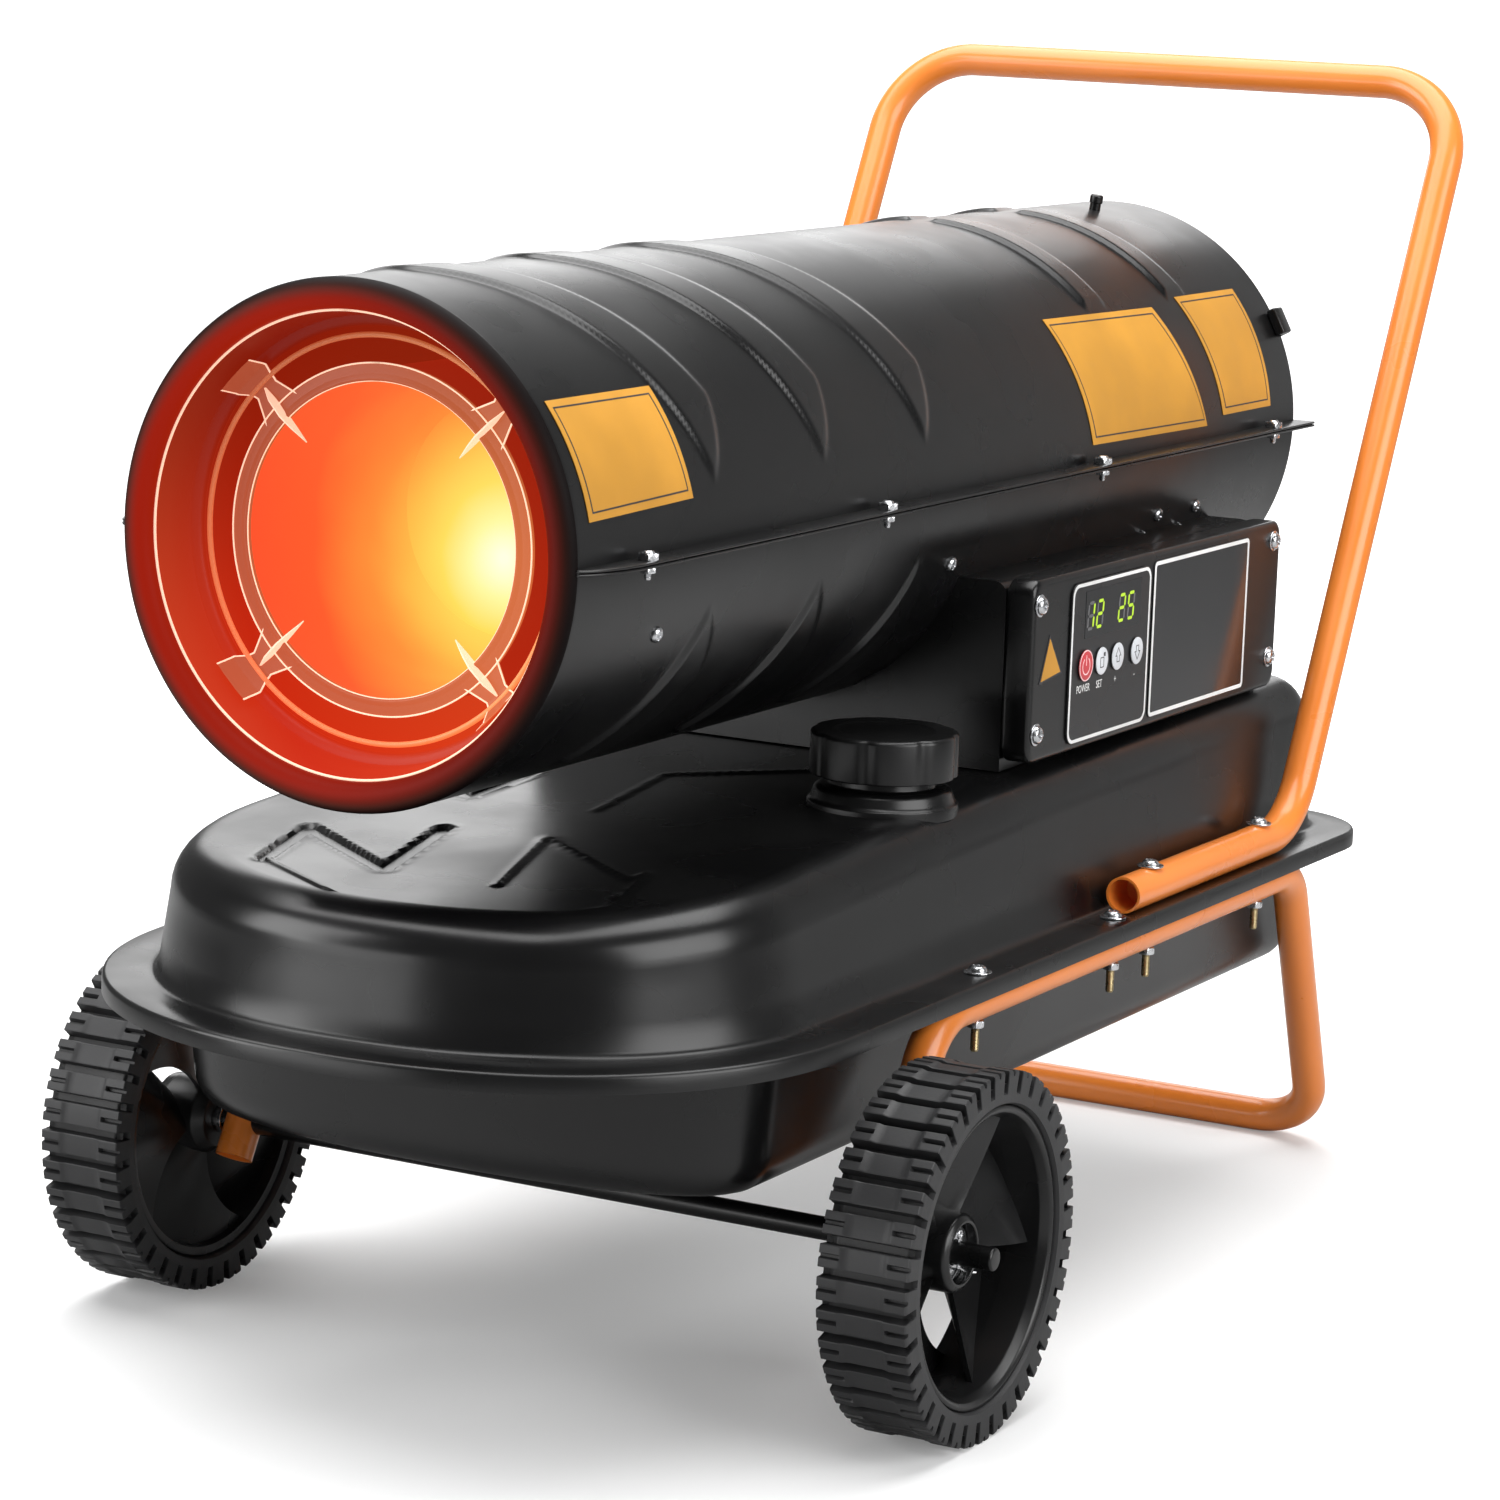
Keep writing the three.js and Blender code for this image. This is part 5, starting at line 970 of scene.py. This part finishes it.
def aimed(grid, direction, place):
    # a grid built up the z axis, turned so that z points along the direction
    surface, wrapRows, wrapColumns = grid
    w = np.array(direction, float) / np.linalg.norm(direction)
    u = np.cross((0.0, 1.0, 0.0) if abs(w[1]) < 0.9 else (1.0, 0.0, 0.0), w)
    u /= np.linalg.norm(u)
    return surface @ np.array([u, np.cross(w, u), w]) + np.array(place, float), wrapRows, wrapColumns


def domeHead(radius, height, recess=1.5):
    # a pan head: a dome with a cross pressed into it
    profile = rounded([(0, height), (radius * 0.35, height), (radius * 0.8, height * 0.86), (radius, height * 0.3),
                       (radius, 0), (0, 0)], [0, radius, radius * 0.5, 0.4, 0, 0], 6)
    fine = np.vstack([np.linspace((0, height), (radius * 0.35, height), 9), profile[1:]])
    surface, wrapRows, wrapColumns = revolved(fine, 48, "z")
    x, y = surface[..., 0], surface[..., 1]
    arm = np.minimum(np.abs(x), np.abs(y))
    cut = (1 - smooth((arm - 0.35) / 0.5)) * (1 - smooth((np.hypot(x, y) - radius * 0.45) / 0.6))
    surface[..., 2] -= recess * cut * (surface[..., 2] > height * 0.6)
    return surface, wrapRows, wrapColumns


def hexNut(radius, height):
    # a hexagon whose corners are turned off at both ends
    t = turns(48)
    flat = np.cos(np.radians(30)) / np.cos(np.mod(t, np.radians(60)) - np.radians(30))
    hexagon = np.stack([np.cos(t), np.sin(t)], 1) * (radius * flat)[:, None]
    rings = []
    for limit, z in ((radius * 0.88, 0), (radius, height * 0.13), (radius, height * 0.87), (radius * 0.88, height)):
        size = np.hypot(*hexagon.T)
        rings.append(atHeight(hexagon * np.minimum(1, limit / size)[:, None], z))
    caps = [atHeight(0 * hexagon, z) for z in (0, height)]
    return np.array([caps[0], *rings, caps[1]]), False, True


def threadEnd(radius, length):
    # the free end of a bolt: rings of thread, 0.8 mm apart, up to a turned tip
    z = np.arange(0, length - 0.6, 0.4)
    profile = np.stack([radius - 0.22 * (np.arange(len(z)) % 2), z], 1)
    profile = np.vstack([(0, 0), profile, (radius * 0.75, length), (0, length)])
    return revolved(profile, 20, "z")


flatWasher = rounded([(0, 0), (8, 0), (8, 1.2), (0, 1.2)], [0, 0.5, 0.5, 0], 3)
frameBolts = {"flange": (-159.0, 21.0), "handle": (72.0, 237.0), "flangeTop": 228.5, "handleTop": 250.8,
              "nutTop": 201.7, "nut": 4.0, "end": 15.0}
for name, side in bothSides:
    for kind in ("flange", "handle"):
        for number, y in enumerate(frameBolts[kind], 1):
            x, top, under = side * frameTube["x"], frameBolts[kind + "Top"], frameBolts["nutTop"]
            head = [aimed(revolved(flatWasher, 48, "z"), (0, 0, 1), (x, y, top + 0.1)),
                    aimed(domeHead(5.2, 3.3), (0, 0, 1), (x, y, top + 1.2))]
            nut = [aimed(hexNut(5.3, frameBolts["nut"]), (0, 0, -1), (x, y, under))]
            end = [aimed(threadEnd(2.5, frameBolts["end"] - frameBolts["nut"] + 3), (0, 0, -1),
                         (x, y, under - frameBolts["nut"] + 0.1))]
            makePiece(f"{kind}Bolt_{name}_{number}", head + nut, "heater", zincPlate,
                      [f"{kind}_bolt_{name}_{number}"], crease=35)
            makePiece(f"{kind}BoltEnd_{name}_{number}", end, "heater", yellowZinc, crease=50)


def onDrum(angle, y, out=0.0):
    # a point on the drum's skin and the direction away from its axis
    t = np.radians(angle)
    away = np.array((np.sin(t), 0, np.cos(t)))
    return away * (drum["radius"] + out) + np.array((0, y, drum["axisZ"])), away


heads, tails = [], []
for _, side in bothSides:
    for y in (-433.0, -170.0, 112.0, 376.0):
        x, z = side * 145.5, drum["axisZ"]
        heads += [aimed(hexNut(6.0, 3.8), (0, 0, 1), (x, y, z + 1.8)),
                  aimed(domeHead(3.2, 1.4, 0), (0, 0, 1), (x, y, z + 5.5))]
        tails += [aimed(hexNut(4.6, 3.0), (0, 0, -1), (x, y, z - 1.8)),
                  aimed(threadEnd(2.0, 3.6), (0, 0, -1), (x, y, z - 4.7))]
makePiece("seamBolts", heads + tails, "heater", zincPlate, crease=35)
lowerScrews = []
for y in (-396.0, -58.0, 231.0, 289.0):
    for turn in (108, -108):
        place, away = onDrum(turn, y)
        lowerScrews.append(aimed(domeHead(4.4, 2.6), away, place))
makePiece("lowerScrews", lowerScrews, "heater", zincPlate, crease=35)
boxNuts = []
for turn, y in ((115.0, 214.0), (115.0, 268.0)):
    place, away = onDrum(turn, y)
    boxNuts += [aimed(hexNut(8.4, 5.6), away, place), aimed(threadEnd(3.6, 3.4), away, place + away * 5.5)]
makePiece("housingNuts", boxNuts, "heater", zincPlate, crease=35)
place, away = onDrum(8, 358.0, -2.0)
studProfile = rounded([(0, 0), (3.6, 0), (3.6, 6.4), (4.3, 6.8), (4.3, 11), (3.4, 12), (0, 12)],
                      [0, 0, 0.3, 0.3, 0.8, 0.8, 0], 4)
makePiece("topStud", [aimed(revolved(studProfile, 32, "z"), away, place)], "heater", blackPlastic,
          ["top_stud"], crease=35)
print("fasteners made")

control = {"front": -42.0, "rear": 322.0, "bottom": 325.0, "top": 432.0, "back": 158.3, "face": 177.0,
           "stickerFace": 178.3, "corner": 9.0, "edge": 3.2}
coverShape = roundedBox(control["front"], control["rear"], control["bottom"], control["top"], control["corner"], 8)
makePiece("controlCover", [plate(coverShape, control["back"], control["face"], control["edge"], steps=6)],
          "heater", blackPaint, ["control_cover"], crease=40)


def borderLine(p0, p1, q0, q1, radius, width, low, high):
    # a printed line round a sticker
    outer = roundedBox(p0, p1, q0, q1, radius, 8)
    inner = roundedBox(p0 + width, p1 - width, q0 + width, q1 - width, radius - width * 0.8, 8)
    rings = [(inner, low), (outer, low), (outer, high), (inner, high)]
    return np.array([np.c_[np.full(len(ring), x), ring] for ring, x in rings]), True, True


stickers = {"left": (7.3, 118.8, 329.5, 425.0, 8.0), "right": (124.2, 269.8, 330.2, 426.4, 4.0)}
face = control["stickerFace"]
p0, p1, q0, q1, r = stickers["left"]
makePiece("controlPanel", [plate(roundedBox(p0, p1, q0, q1, r, 8), control["face"] + 0.1, face, 0.3)], "heater",
          panelPlastic, ["control_panel"], crease=40)
lines = [borderLine(p0 + 0.6, p1 - 0.6, q0 + 0.6, q1 - 0.6, r - 0.6, 2.0, face - 0.1, face + 0.06)]
p0, p1, q0, q1, r = stickers["right"]
makePiece("noticePlate", [plate(roundedBox(p0, p1, q0, q1, r, 8), control["face"] + 0.1, control["face"] + 0.6,
                                0.2)], "heater", noticeFilm, crease=40)
lines.append(borderLine(p0 + 0.6, p1 - 0.6, q0 + 0.6, q1 - 0.6, r - 0.6, 2.4, control["face"] + 0.4,
                        control["face"] + 0.66))
makePiece("stickerLines", lines, "heater", whiteInk, crease=40)

segments = {"a": ((0, 2), (1, 2)), "b": ((1, 1), (1, 2)), "c": ((1, 0), (1, 1)), "d": ((0, 0), (1, 0)),
            "e": ((0, 0), (0, 1)), "f": ((0, 1), (0, 2)), "g": ((0, 1), (1, 1))}
litSegments = {"1": "bc", "2": "abged", "5": "afgcd"}
display = {"width": 7.6, "height": 15.2, "slant": 0.11, "bar": 1.9, "low": 395.4, "face": 178.55}


def segmentBar(y0, start, end):
    # one bar of a figure, pointed at both ends
    corner = np.array((display["width"], display["height"] / 2))
    a, b = np.array(start) * corner, np.array(end) * corner
    along = (b - a) / np.linalg.norm(b - a)
    across = np.array((-along[1], along[0])) * display["bar"] / 2
    a, b = a + along * 0.5, b - along * 0.5
    tip = along * display["bar"] / 2
    outline = np.array([a, a + tip - across, b - tip - across, b, b - tip + across, a + tip + across])
    outline = outline + np.array((y0, display["low"] + 0.9))
    outline[:, 0] += (outline[:, 1] - display["low"]) * display["slant"]
    return plate(outline, display["face"] - 0.1, display["face"] + 0.05)


litBars, darkBars = [], []
for y0, figure in ((28.6, "1"), (41.2, "2"), (71.9, "2"), (84.9, "5")):
    for key, (start, end) in segments.items():
        (litBars if key in litSegments[figure] else darkBars).append(segmentBar(y0, start, end))
makePiece("litFigures", litBars, "heater", litFigure, crease=20)
makePiece("darkFigures", darkBars, "heater", darkFigure, crease=20)


def lettering(name, text, size, y, z, body="heater"):
    # a word as thin solid letters on the panel
    curve = bpy.data.curves.new(name, "FONT")
    curve.body, curve.size, curve.extrude, curve.align_x, curve.align_y = text, size, 0.06, "CENTER", "CENTER"
    curve.resolution_u = 3
    carrier = bpy.data.objects.new(name, curve)
    bpy.context.scene.collection.objects.link(carrier)
    bpy.context.view_layer.update()
    mesh = bpy.data.meshes.new_from_object(carrier.evaluated_get(bpy.context.evaluated_depsgraph_get()))
    bpy.data.objects.remove(carrier)
    flat = np.empty(len(mesh.vertices) * 3)
    mesh.vertices.foreach_get("co", flat)
    flat = flat.reshape(-1, 3)
    placed = np.stack([face + 0.02 + flat[:, 2], y + flat[:, 0] * 0.8, z + flat[:, 1]], 1) * mm
    mesh.vertices.foreach_set("co", placed.ravel())
    mesh.materials.clear()
    mesh.materials.append(whiteInk)
    mesh.update()
    piece = bpy.data.objects.new(name, mesh)
    bpy.context.scene.collection.objects.link(piece)
    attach(piece, body)


for name, word, y in (("powerWord", "POWER", 27.0), ("setWord", "SET", 49.4), ("plusWord", "+", 71.8),
                      ("minusWord", "-", 99.4)):
    lettering(name, word, 6.6, y, 361.2)
for name, y in (("roomUnit", 58.5), ("setUnit", 101.5)):
    lettering(name, "°C", 5.0, y, 410.5)

keys = {"power": (26.9, 9.3), "set": (49.4, 8.2), "plus": (71.8, 8.2), "minus": (99.3, 8.2)}
keyZ, keyFace = 375.2, 179.9
for name, (y, r) in keys.items():
    profile = rounded([(0, 0), (r, 0), (r, 0.7), (0, 0.7)], [0, 0.2, 0.3, 0], 3)
    cap = aimed(revolved(profile, 64, "z"), (1, 0, 0), (keyFace - 0.7, y, keyZ))
    finish, slot = (redKey, "red_button") if name == "power" else (greyKey, "grey_button")
    makePiece(name + "Key", [cap], name + "_key", finish, [name + "_button"], crease=40)


def arcLine(radius, width, start, end, y, z, low, high):
    # a flat arc of a circle, its angles in degrees from the top
    t = np.radians(np.linspace(start, end, 24))
    out = np.stack([np.sin(t), np.cos(t)], 1)
    inner, outer = radius - width / 2, radius + width / 2
    rings = [(inner, low), (outer, low), (outer, high), (inner, high)]
    return np.stack([np.c_[np.full(len(t), x), out * r + (y, z)] for r, x in rings], 1), False, True


y, r = keys["power"]
low, high = keyFace - 0.1, keyFace + 0.05
sign = [arcLine(5.0, 0.8, 32, 328, y, keyZ - 0.3, low, high),
        plate(roundedBox(y - 0.4, y + 0.4, keyZ, keyZ + 6.2, 0.3, 3), low, high)]
makePiece("powerSign", sign, "power_key", paleInk, crease=30, ends=True)
rim = borderLine(y - r, y + r, keyZ - r, keyZ + r, r - 0.05, 0.7, low, high)
makePiece("powerRim", [rim], "power_key", paleInk, crease=30)
y, r = keys["set"]
makePiece("setSign", [borderLine(y - 3.0, y + 2.2, keyZ - 4, keyZ + 2.4, 0.8, 0.6, low, high),
                      plate(roundedBox(y + 1.4, y + 4.0, keyZ + 2.6, keyZ + 5.0, 0.4, 3), low, high)], "set_key",
          darkInk, crease=30)
arrow = np.array([(-3.6, 0.4), (0, 5.2), (3.6, 0.4), (1.7, 0.4), (1.7, -3.2), (-1.7, -3.2), (-1.7, 0.4)])


def arrowLine(y, flip):
    # the arrow's outline as bars
    bars, width = [], 0.55
    corners = arrow * (1, flip) + (y, keyZ)
    for a, b in zip(corners, np.roll(corners, -1, 0)):
        along = (b - a) / np.linalg.norm(b - a)
        side = np.array((-along[1], along[0])) * width / 2
        a, b = a - along * width / 2, b + along * width / 2
        bars.append(plate(np.array([a - side, b - side, b + side, a + side]), low, high))
    return bars


for name, flip in (("plus", 1), ("minus", -1)):
    makePiece(name + "Sign", arrowLine(keys[name][0], flip), name + "_key", darkInk, crease=30)
corner = np.array([(-19.3, 396.5), (-29.9, 372.4), (-3.9, 375.4)])
spot = corner.mean(0)
makePiece("cornerSticker", [plate(spot + (corner - spot) * 1.16, control["face"] + 0.05, control["face"] + 0.3)],
          "heater", darkInk, crease=30)
makePiece("cornerStickerFace", [plate(corner, control["face"] + 0.25, control["face"] + 0.5)], "heater", labelFilm,
          crease=30)
coverWasher = revolved(rounded([(0, 0), (6.6, 0), (6.6, 0.9), (0, 0.9)], [0, 0.3, 0.4, 0], 3), 40, "z")
coverScrews = []
for y, z in ((-34.5, 417.5), (-33.5, 342.0), (309.5, 419.6), (310.0, 345.0)):
    coverScrews += [aimed(coverWasher, (1, 0, 0), (control["face"], y, z)),
                    aimed(domeHead(5.4, 3.2), (1, 0, 0), (control["face"] + 0.8, y, z))]
makePiece("coverScrews", coverScrews, "heater", zincPlate, crease=35)
print("control box made")

labels = [((53, -479), (53, -376), (79, -370), (80, -475)), ((51, 100), (52, 256), (86, 287), (85, 116)),
          ((50, 297), (50, 390), (84, 390), (84, 313))]


def sheetOnDrum(corners, low, high):
    # a printed sheet on the drum, between four corners given as angle and y
    a, b, d, e = [np.array(k, float) for k in corners]
    s, t = np.linspace(0, 1, 28)[:, None, None], np.linspace(0, 1, 12)[None, :, None]
    spot = (a * (1 - t) + b * t) * (1 - s) + (e * (1 - t) + d * t) * s
    skins = []
    for out in (low, high):
        turn = np.radians(spot[..., 0])
        radius = drum["radius"] + out
        skins.append(np.stack([radius * np.sin(turn), spot[..., 1], drum["axisZ"] + radius * np.cos(turn)], -1))
    return closedSheet(*skins)


makePiece("drumLabels", [sheetOnDrum(k, 0.12, 0.5) for k in labels], "heater", labelFilm, crease=30,
          ends=True)


def borderOnDrum(corners):
    # a printed line inside a label's edge: four narrow sheets
    inset, width = 4.0, 0.9
    mid = np.mean(corners, axis=0)
    arc = np.array((np.radians(1) * drum["radius"], 1.0))
    strips = []
    for first, second in zip(corners, [*corners[1:], corners[0]]):
        ends = []
        for corner in (first, second):
            away = (np.array(corner, float) - mid) * arc
            for depth in (inset, inset + width):
                ends.append(mid + (away - np.sign(away) * depth) / arc)
        strips.append(sheetOnDrum([ends[0], ends[1], ends[3], ends[2]], 0.3, 0.62))
    return strips


makePiece("labelBorders", [strip for k in labels for strip in borderOnDrum(k)], "heater", darkInk,
          crease=30, ends=True)
print("labels made")

guard = {"rear": 422.0, "front": 419.0, "rings": (134.4, 90.8, 47.2), "wire": 1.9, "spokes": 6}
y = (guard["rear"] + guard["front"]) / 2
wires = []
for r in guard["rings"]:
    wires.append(torus(r - 2.0, y, guard["wire"], 12, 120, "y", middle))
for i in range(guard["spokes"] // 2):
    t = np.radians(360 * i / guard["spokes"])
    reach = np.array((np.sin(t), 0, np.cos(t))) * (guard["rings"][0] - 2)
    centre = middle + np.array((0, y, 0))
    wires.append(wire([centre - reach, centre + reach], guard["wire"], 3.0, 12))
for angle in (62, 180, 298):
    hook = plate(roundedBox(-9, 9, drum["radius"] + 0.7, drum["radius"] + 7, 1.5, 4), 420.3, 433.3, 1.0, "y")
    web = plate(roundedBox(-9, 9, 130.5, drum["radius"] + 6.5, 1.2, 4), 430.3, 433.3, 0.6, "y")
    stem = plate(roundedBox(-9, 9, 130.5, 134.2, 0.8, 4), 421, 433.0, 0.6, "y")
    wires += [shifted(turned(k, angle, "y"), middle) for k in (hook, web, stem)]
makePiece("rearGuard", wires, "heater", blackPaint, ["rear_guard"], crease=45)

fanShape = {"y": 65.0, "radius": 122.0, "hub": 24.0, "blades": 5, "sweep": 44.0, "pitch": 26.0}


def fanBlade():
    # a thin blade that widens outwards and twists: its pitch falls towards the tip
    share = np.linspace(0, 1, 24)[:, None]
    s = np.linspace(-0.5, 0.5, 21)
    radius = fanShape["hub"] - 2 + (fanShape["radius"] - fanShape["hub"] + 2) * share
    spread = np.radians(fanShape["sweep"]) * (0.7 + 0.3 * np.sin(np.pi * (0.15 + 0.7 * share)))
    y = fanShape["pitch"] * (1 - 0.35 * share) * s + (0.25 - s * s) * 8 + fanShape["y"]
    skins = [np.stack([radius * np.sin(spread * s), y + offset, radius * np.cos(spread * s)], -1) for offset in (0,
        1.6)]
    return closedSheet(*skins)


hub = rounded([(0, -21), (17, -18), (24, -11), (24, 15), (0, 15)], [0, 3, 6, 2, 0],
              5) + np.array((0, fanShape["y"]))
makePiece("fanHub", [revolved(hub, 64, "y", middle)], "fan_rotor", castAlloy, ["fan"])
makePiece("fanBlades", [shifted(turned(fanBlade(), 360 * i / fanShape["blades"], "y"),
                                middle) for i in range(fanShape["blades"])], "fan_rotor", castAlloy,
          crease=50, ends=True)
motorProfile = rounded([(0, 94), (18, 94), (18, 100), (46, 100), (46, 218), (0, 218)], [0, 2, 1, 6, 6, 0], 5)
fins = []
for i in range(24):
    fin = plate(roundedBox(-1.0, 1.0, 45.4, 46.9, 0.3, 3), 112, 206, 0.3, "y")
    fins.append(shifted(turned(fin, 15 * i, "y"), middle))
makePiece("motor", [revolved(motorProfile, 72, "y", middle)] + fins, "heater", castAlloy, ["motor"])
pump = rounded([(0, 218.3), (38, 218.3), (38, 262.3), (0, 262.3)], [0, 1.5, 4, 0], 5)
makePiece("airPump", [revolved(pump, 64, "y", middle)], "heater", castAlloy, ["air_pump"])
cover = rounded([(0, 262.6), (44, 262.6), (44, 266), (42.5, 267), (42.5, 286), (44, 287), (44, 296.6), (0, 296.6)],
                [0, 0.5, 0.5, 0.5, 0.5, 0.5, 6, 0], 5)
makePiece("airFilterCover", [revolved(cover, 72, "y", middle)], "heater", blackPlastic,
          ["air_filter_cover"])

gland = rounded([(3.5, 320.3), (13, 320.3), (13, 323.3), (9.4, 323.8), (9.4, 329), (7.4, 342.3), (3.5, 342.3),
                 (3.5, 320.3)], [0, 0.6, 1, 1, 1, 1, 0.4, 0], 4)
makePiece("cordGland", [revolved(gland, 48, "y", (120, 0, 372), closed=True)], "heater", blackPlastic,
          ["cord_gland"], crease=40)
drain = [aimed(hexNut(11, 6), (0, 0, -1), (0, 235, tank["bottom"] - 0.3))]
makePiece("drainPlug", drain, "heater", zincPlate, ["drain_plug"], crease=35)
filterProfile = rounded([(0, 0), (7, 0), (11, 2), (11, 22), (7, 24), (0, 24)], [0, 1, 2, 2, 1, 0], 5)
makePiece("fuelFilter", [revolved(filterProfile, 40, "z", (-70, 30, tankTop(np.array(41.0)) + 0.3))], "heater",
          filterPlastic, ["fuel_filter"])
for name, side in bothSides:
    spacer = rounded([(bore, 0.3), (9, 0.3), (9, 5.3), (bore, 5.3), (bore, 0.3)], 0.3, 3)
    moved = (spacer * (1, side)) + np.array((0, side * 218.4))
    makePiece("axleSpacer_" + name, [revolved(moved, 40, "x", (0, wheel["y"], wheel["radius"]))], "heater",
              zincPlate, ["axle_spacer_" + name], crease=40)
makePiece("capGasket", [revolved(gasket, 96, "z", (filler["x"], filler["y"], 0), closed=True)], "gasket",
          hoseRubber, ["cap_gasket"], crease=40)

carriedOver = {
    # the burner head takes the ring's painted fire light
    "burner_head": ringFireLight, "circuit_board": boardGreen, "display_module": displayGlass,
    "flame_sensor": blackPlastic, "fuel_line": hoseRubber, "fuel_nozzle": brassTurned,
    "fuel_pickup": brassTurned, "igniter": ceramicWhite, "ignition_transformer": castAlloy,
    "motor_bracket": blackPaint, "motor_shaft": zincPlate, "support_housing": blackPaint,
}
for name, finish in carriedOver.items():
    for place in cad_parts[name].material_slots:
        place.material = finish
print("inner pieces made")

studio = {
    "floor": (0.80, 0.80, 0.80), "shadedFloor": (0.40, 0.40, 0.40), "world": 0.13,
    "camera": (1337.48, -2507.98, 823.62), "target": (1.2, -54.0, 315.3), "roll": 2.0, "lens": 115.1,
}


def studioFloor():
    # a plain pale floor that runs up behind the object; the camera sees it lifted to white away from the shadow
    y = np.concatenate([np.linspace(-6000, 3600, 30), 3600 + 900 * np.sin(np.linspace(0, np.pi / 2, 12)),
                        np.full(8, 4500.0)])
    z = np.concatenate([np.zeros(30), 900 * (1 - np.cos(np.linspace(0, np.pi / 2, 12))),
                        np.linspace(1000, 5000, 8)])
    x = np.linspace(-6000, 6000, 24)
    surface = np.stack([x[:, None] + 0 * y, y + 0 * x[:, None], z + 0 * x[:, None]], -1)
    made = Finish("studioFloor", color=studio["floor"], roughness=0.9)
    path = made.tree.nodes.new("ShaderNodeLightPath")
    grain = made.noise(3.0, 2)
    made.feed("Roughness", grain.ramp(0.3, 0.7, 0.86, 0.94))
    seen = Wire(made, path.outputs["Is Camera Ray"])
    x, y, z = made.axes()
    made.feed("Base Color", made.blend(seen + z.ramp(40, 350), studio["shadedFloor"], studio["floor"]))
    lift = ((x * x + y * y) ** 0.5).ramp(750, 1700, 0.18, 1.0)
    made.shine(made.blend(seen * lift, (0, 0, 0), (1, 1, 1)))
    mesh = bpy.data.meshes.new("floor")
    index = np.arange(surface.shape[0] * surface.shape[1]).reshape(surface.shape[:2])
    cells = np.stack([index[:-1, :-1], index[1:, :-1], index[1:, 1:], index[:-1, 1:]], -1).reshape(-1, 4)
    mesh.from_pydata(surface.reshape(-1, 3) * mm, [], cells)
    mesh.shade_smooth()
    floor = bpy.data.objects.new("floor", mesh)
    bpy.context.scene.collection.objects.link(floor)
    mesh.materials.append(made.material)


def softBox(name, place, aim, size, power):
    lamp = bpy.data.lights.new(name, "AREA")
    lamp.shape = "RECTANGLE"
    lamp.size, lamp.size_y = size
    lamp.energy = power
    obj = bpy.data.objects.new(name, lamp)
    bpy.context.scene.collection.objects.link(obj)
    obj.matrix_world = lookAt(place, aim)


def lookAt(place, aim, roll=0.0):
    # a camera or light at a place that looks at the aim along its own -z, with its top up
    place, aim = np.array(place, float), np.array(aim, float)
    back = (place - aim) / np.linalg.norm(place - aim)
    right = np.cross((0, 0, 1), back)
    right /= np.linalg.norm(right)
    up = np.cross(back, right)
    c, s = np.cos(np.radians(roll)), np.sin(np.radians(roll))
    right, up = c * right + s * up, -s * right + c * up
    place = place * mm
    return Matrix([[right[k], up[k], back[k], place[k]] for k in range(3)] + [[0, 0, 0, 1]])


studioFloor()
# each light's place and aim in millimetres, its size in metres and its power in watts
lights = {
    "topLight": ((-300, 100, 2700), (0, 0, 300), (3.4, 3.2), 142),
    "frontLeftLight": ((-2300, -2300, 1500), (0, 0, 350), (1.6, 1.8), 48),
    "lowLight": ((-1500, -3100, 420), (0, -300, 250), (2.0, 0.8), 14),
    "rimLight": ((-1700, 2900, 1500), (0, 0, 500), (3.0, 1.2), 25),
    "rightLight": ((2700, -500, 1400), (0, 0, 300), (2.4, 2.0), 66),
}
for name, light in lights.items():
    softBox(name, *light)

world = bpy.data.worlds.new("studioWorld")
world.use_nodes = True
sky = world.node_tree
path = sky.nodes.new("ShaderNodeLightPath")
strength = sky.nodes.new("ShaderNodeMapRange")
sky.links.new(path.outputs["Is Camera Ray"], strength.inputs["Value"])
strength.inputs["To Min"].default_value = studio["world"]
strength.inputs["To Max"].default_value = 1.0
sky.nodes["Background"].inputs["Color"].default_value = (1, 1, 1, 1)
sky.links.new(strength.outputs["Result"], sky.nodes["Background"].inputs["Strength"])
bpy.context.scene.world = world

camera = bpy.data.objects.new("camera", bpy.data.cameras.new("camera"))
bpy.context.scene.collection.objects.link(camera)
camera.data.lens = studio["lens"]
camera.data.sensor_width = 36.0
camera.data.clip_end = 50.0
camera.matrix_world = lookAt(studio["camera"], studio["target"], studio["roll"])
bpy.context.scene.camera = camera
bpy.context.scene.view_settings.view_transform = "Standard"

print("studio made")
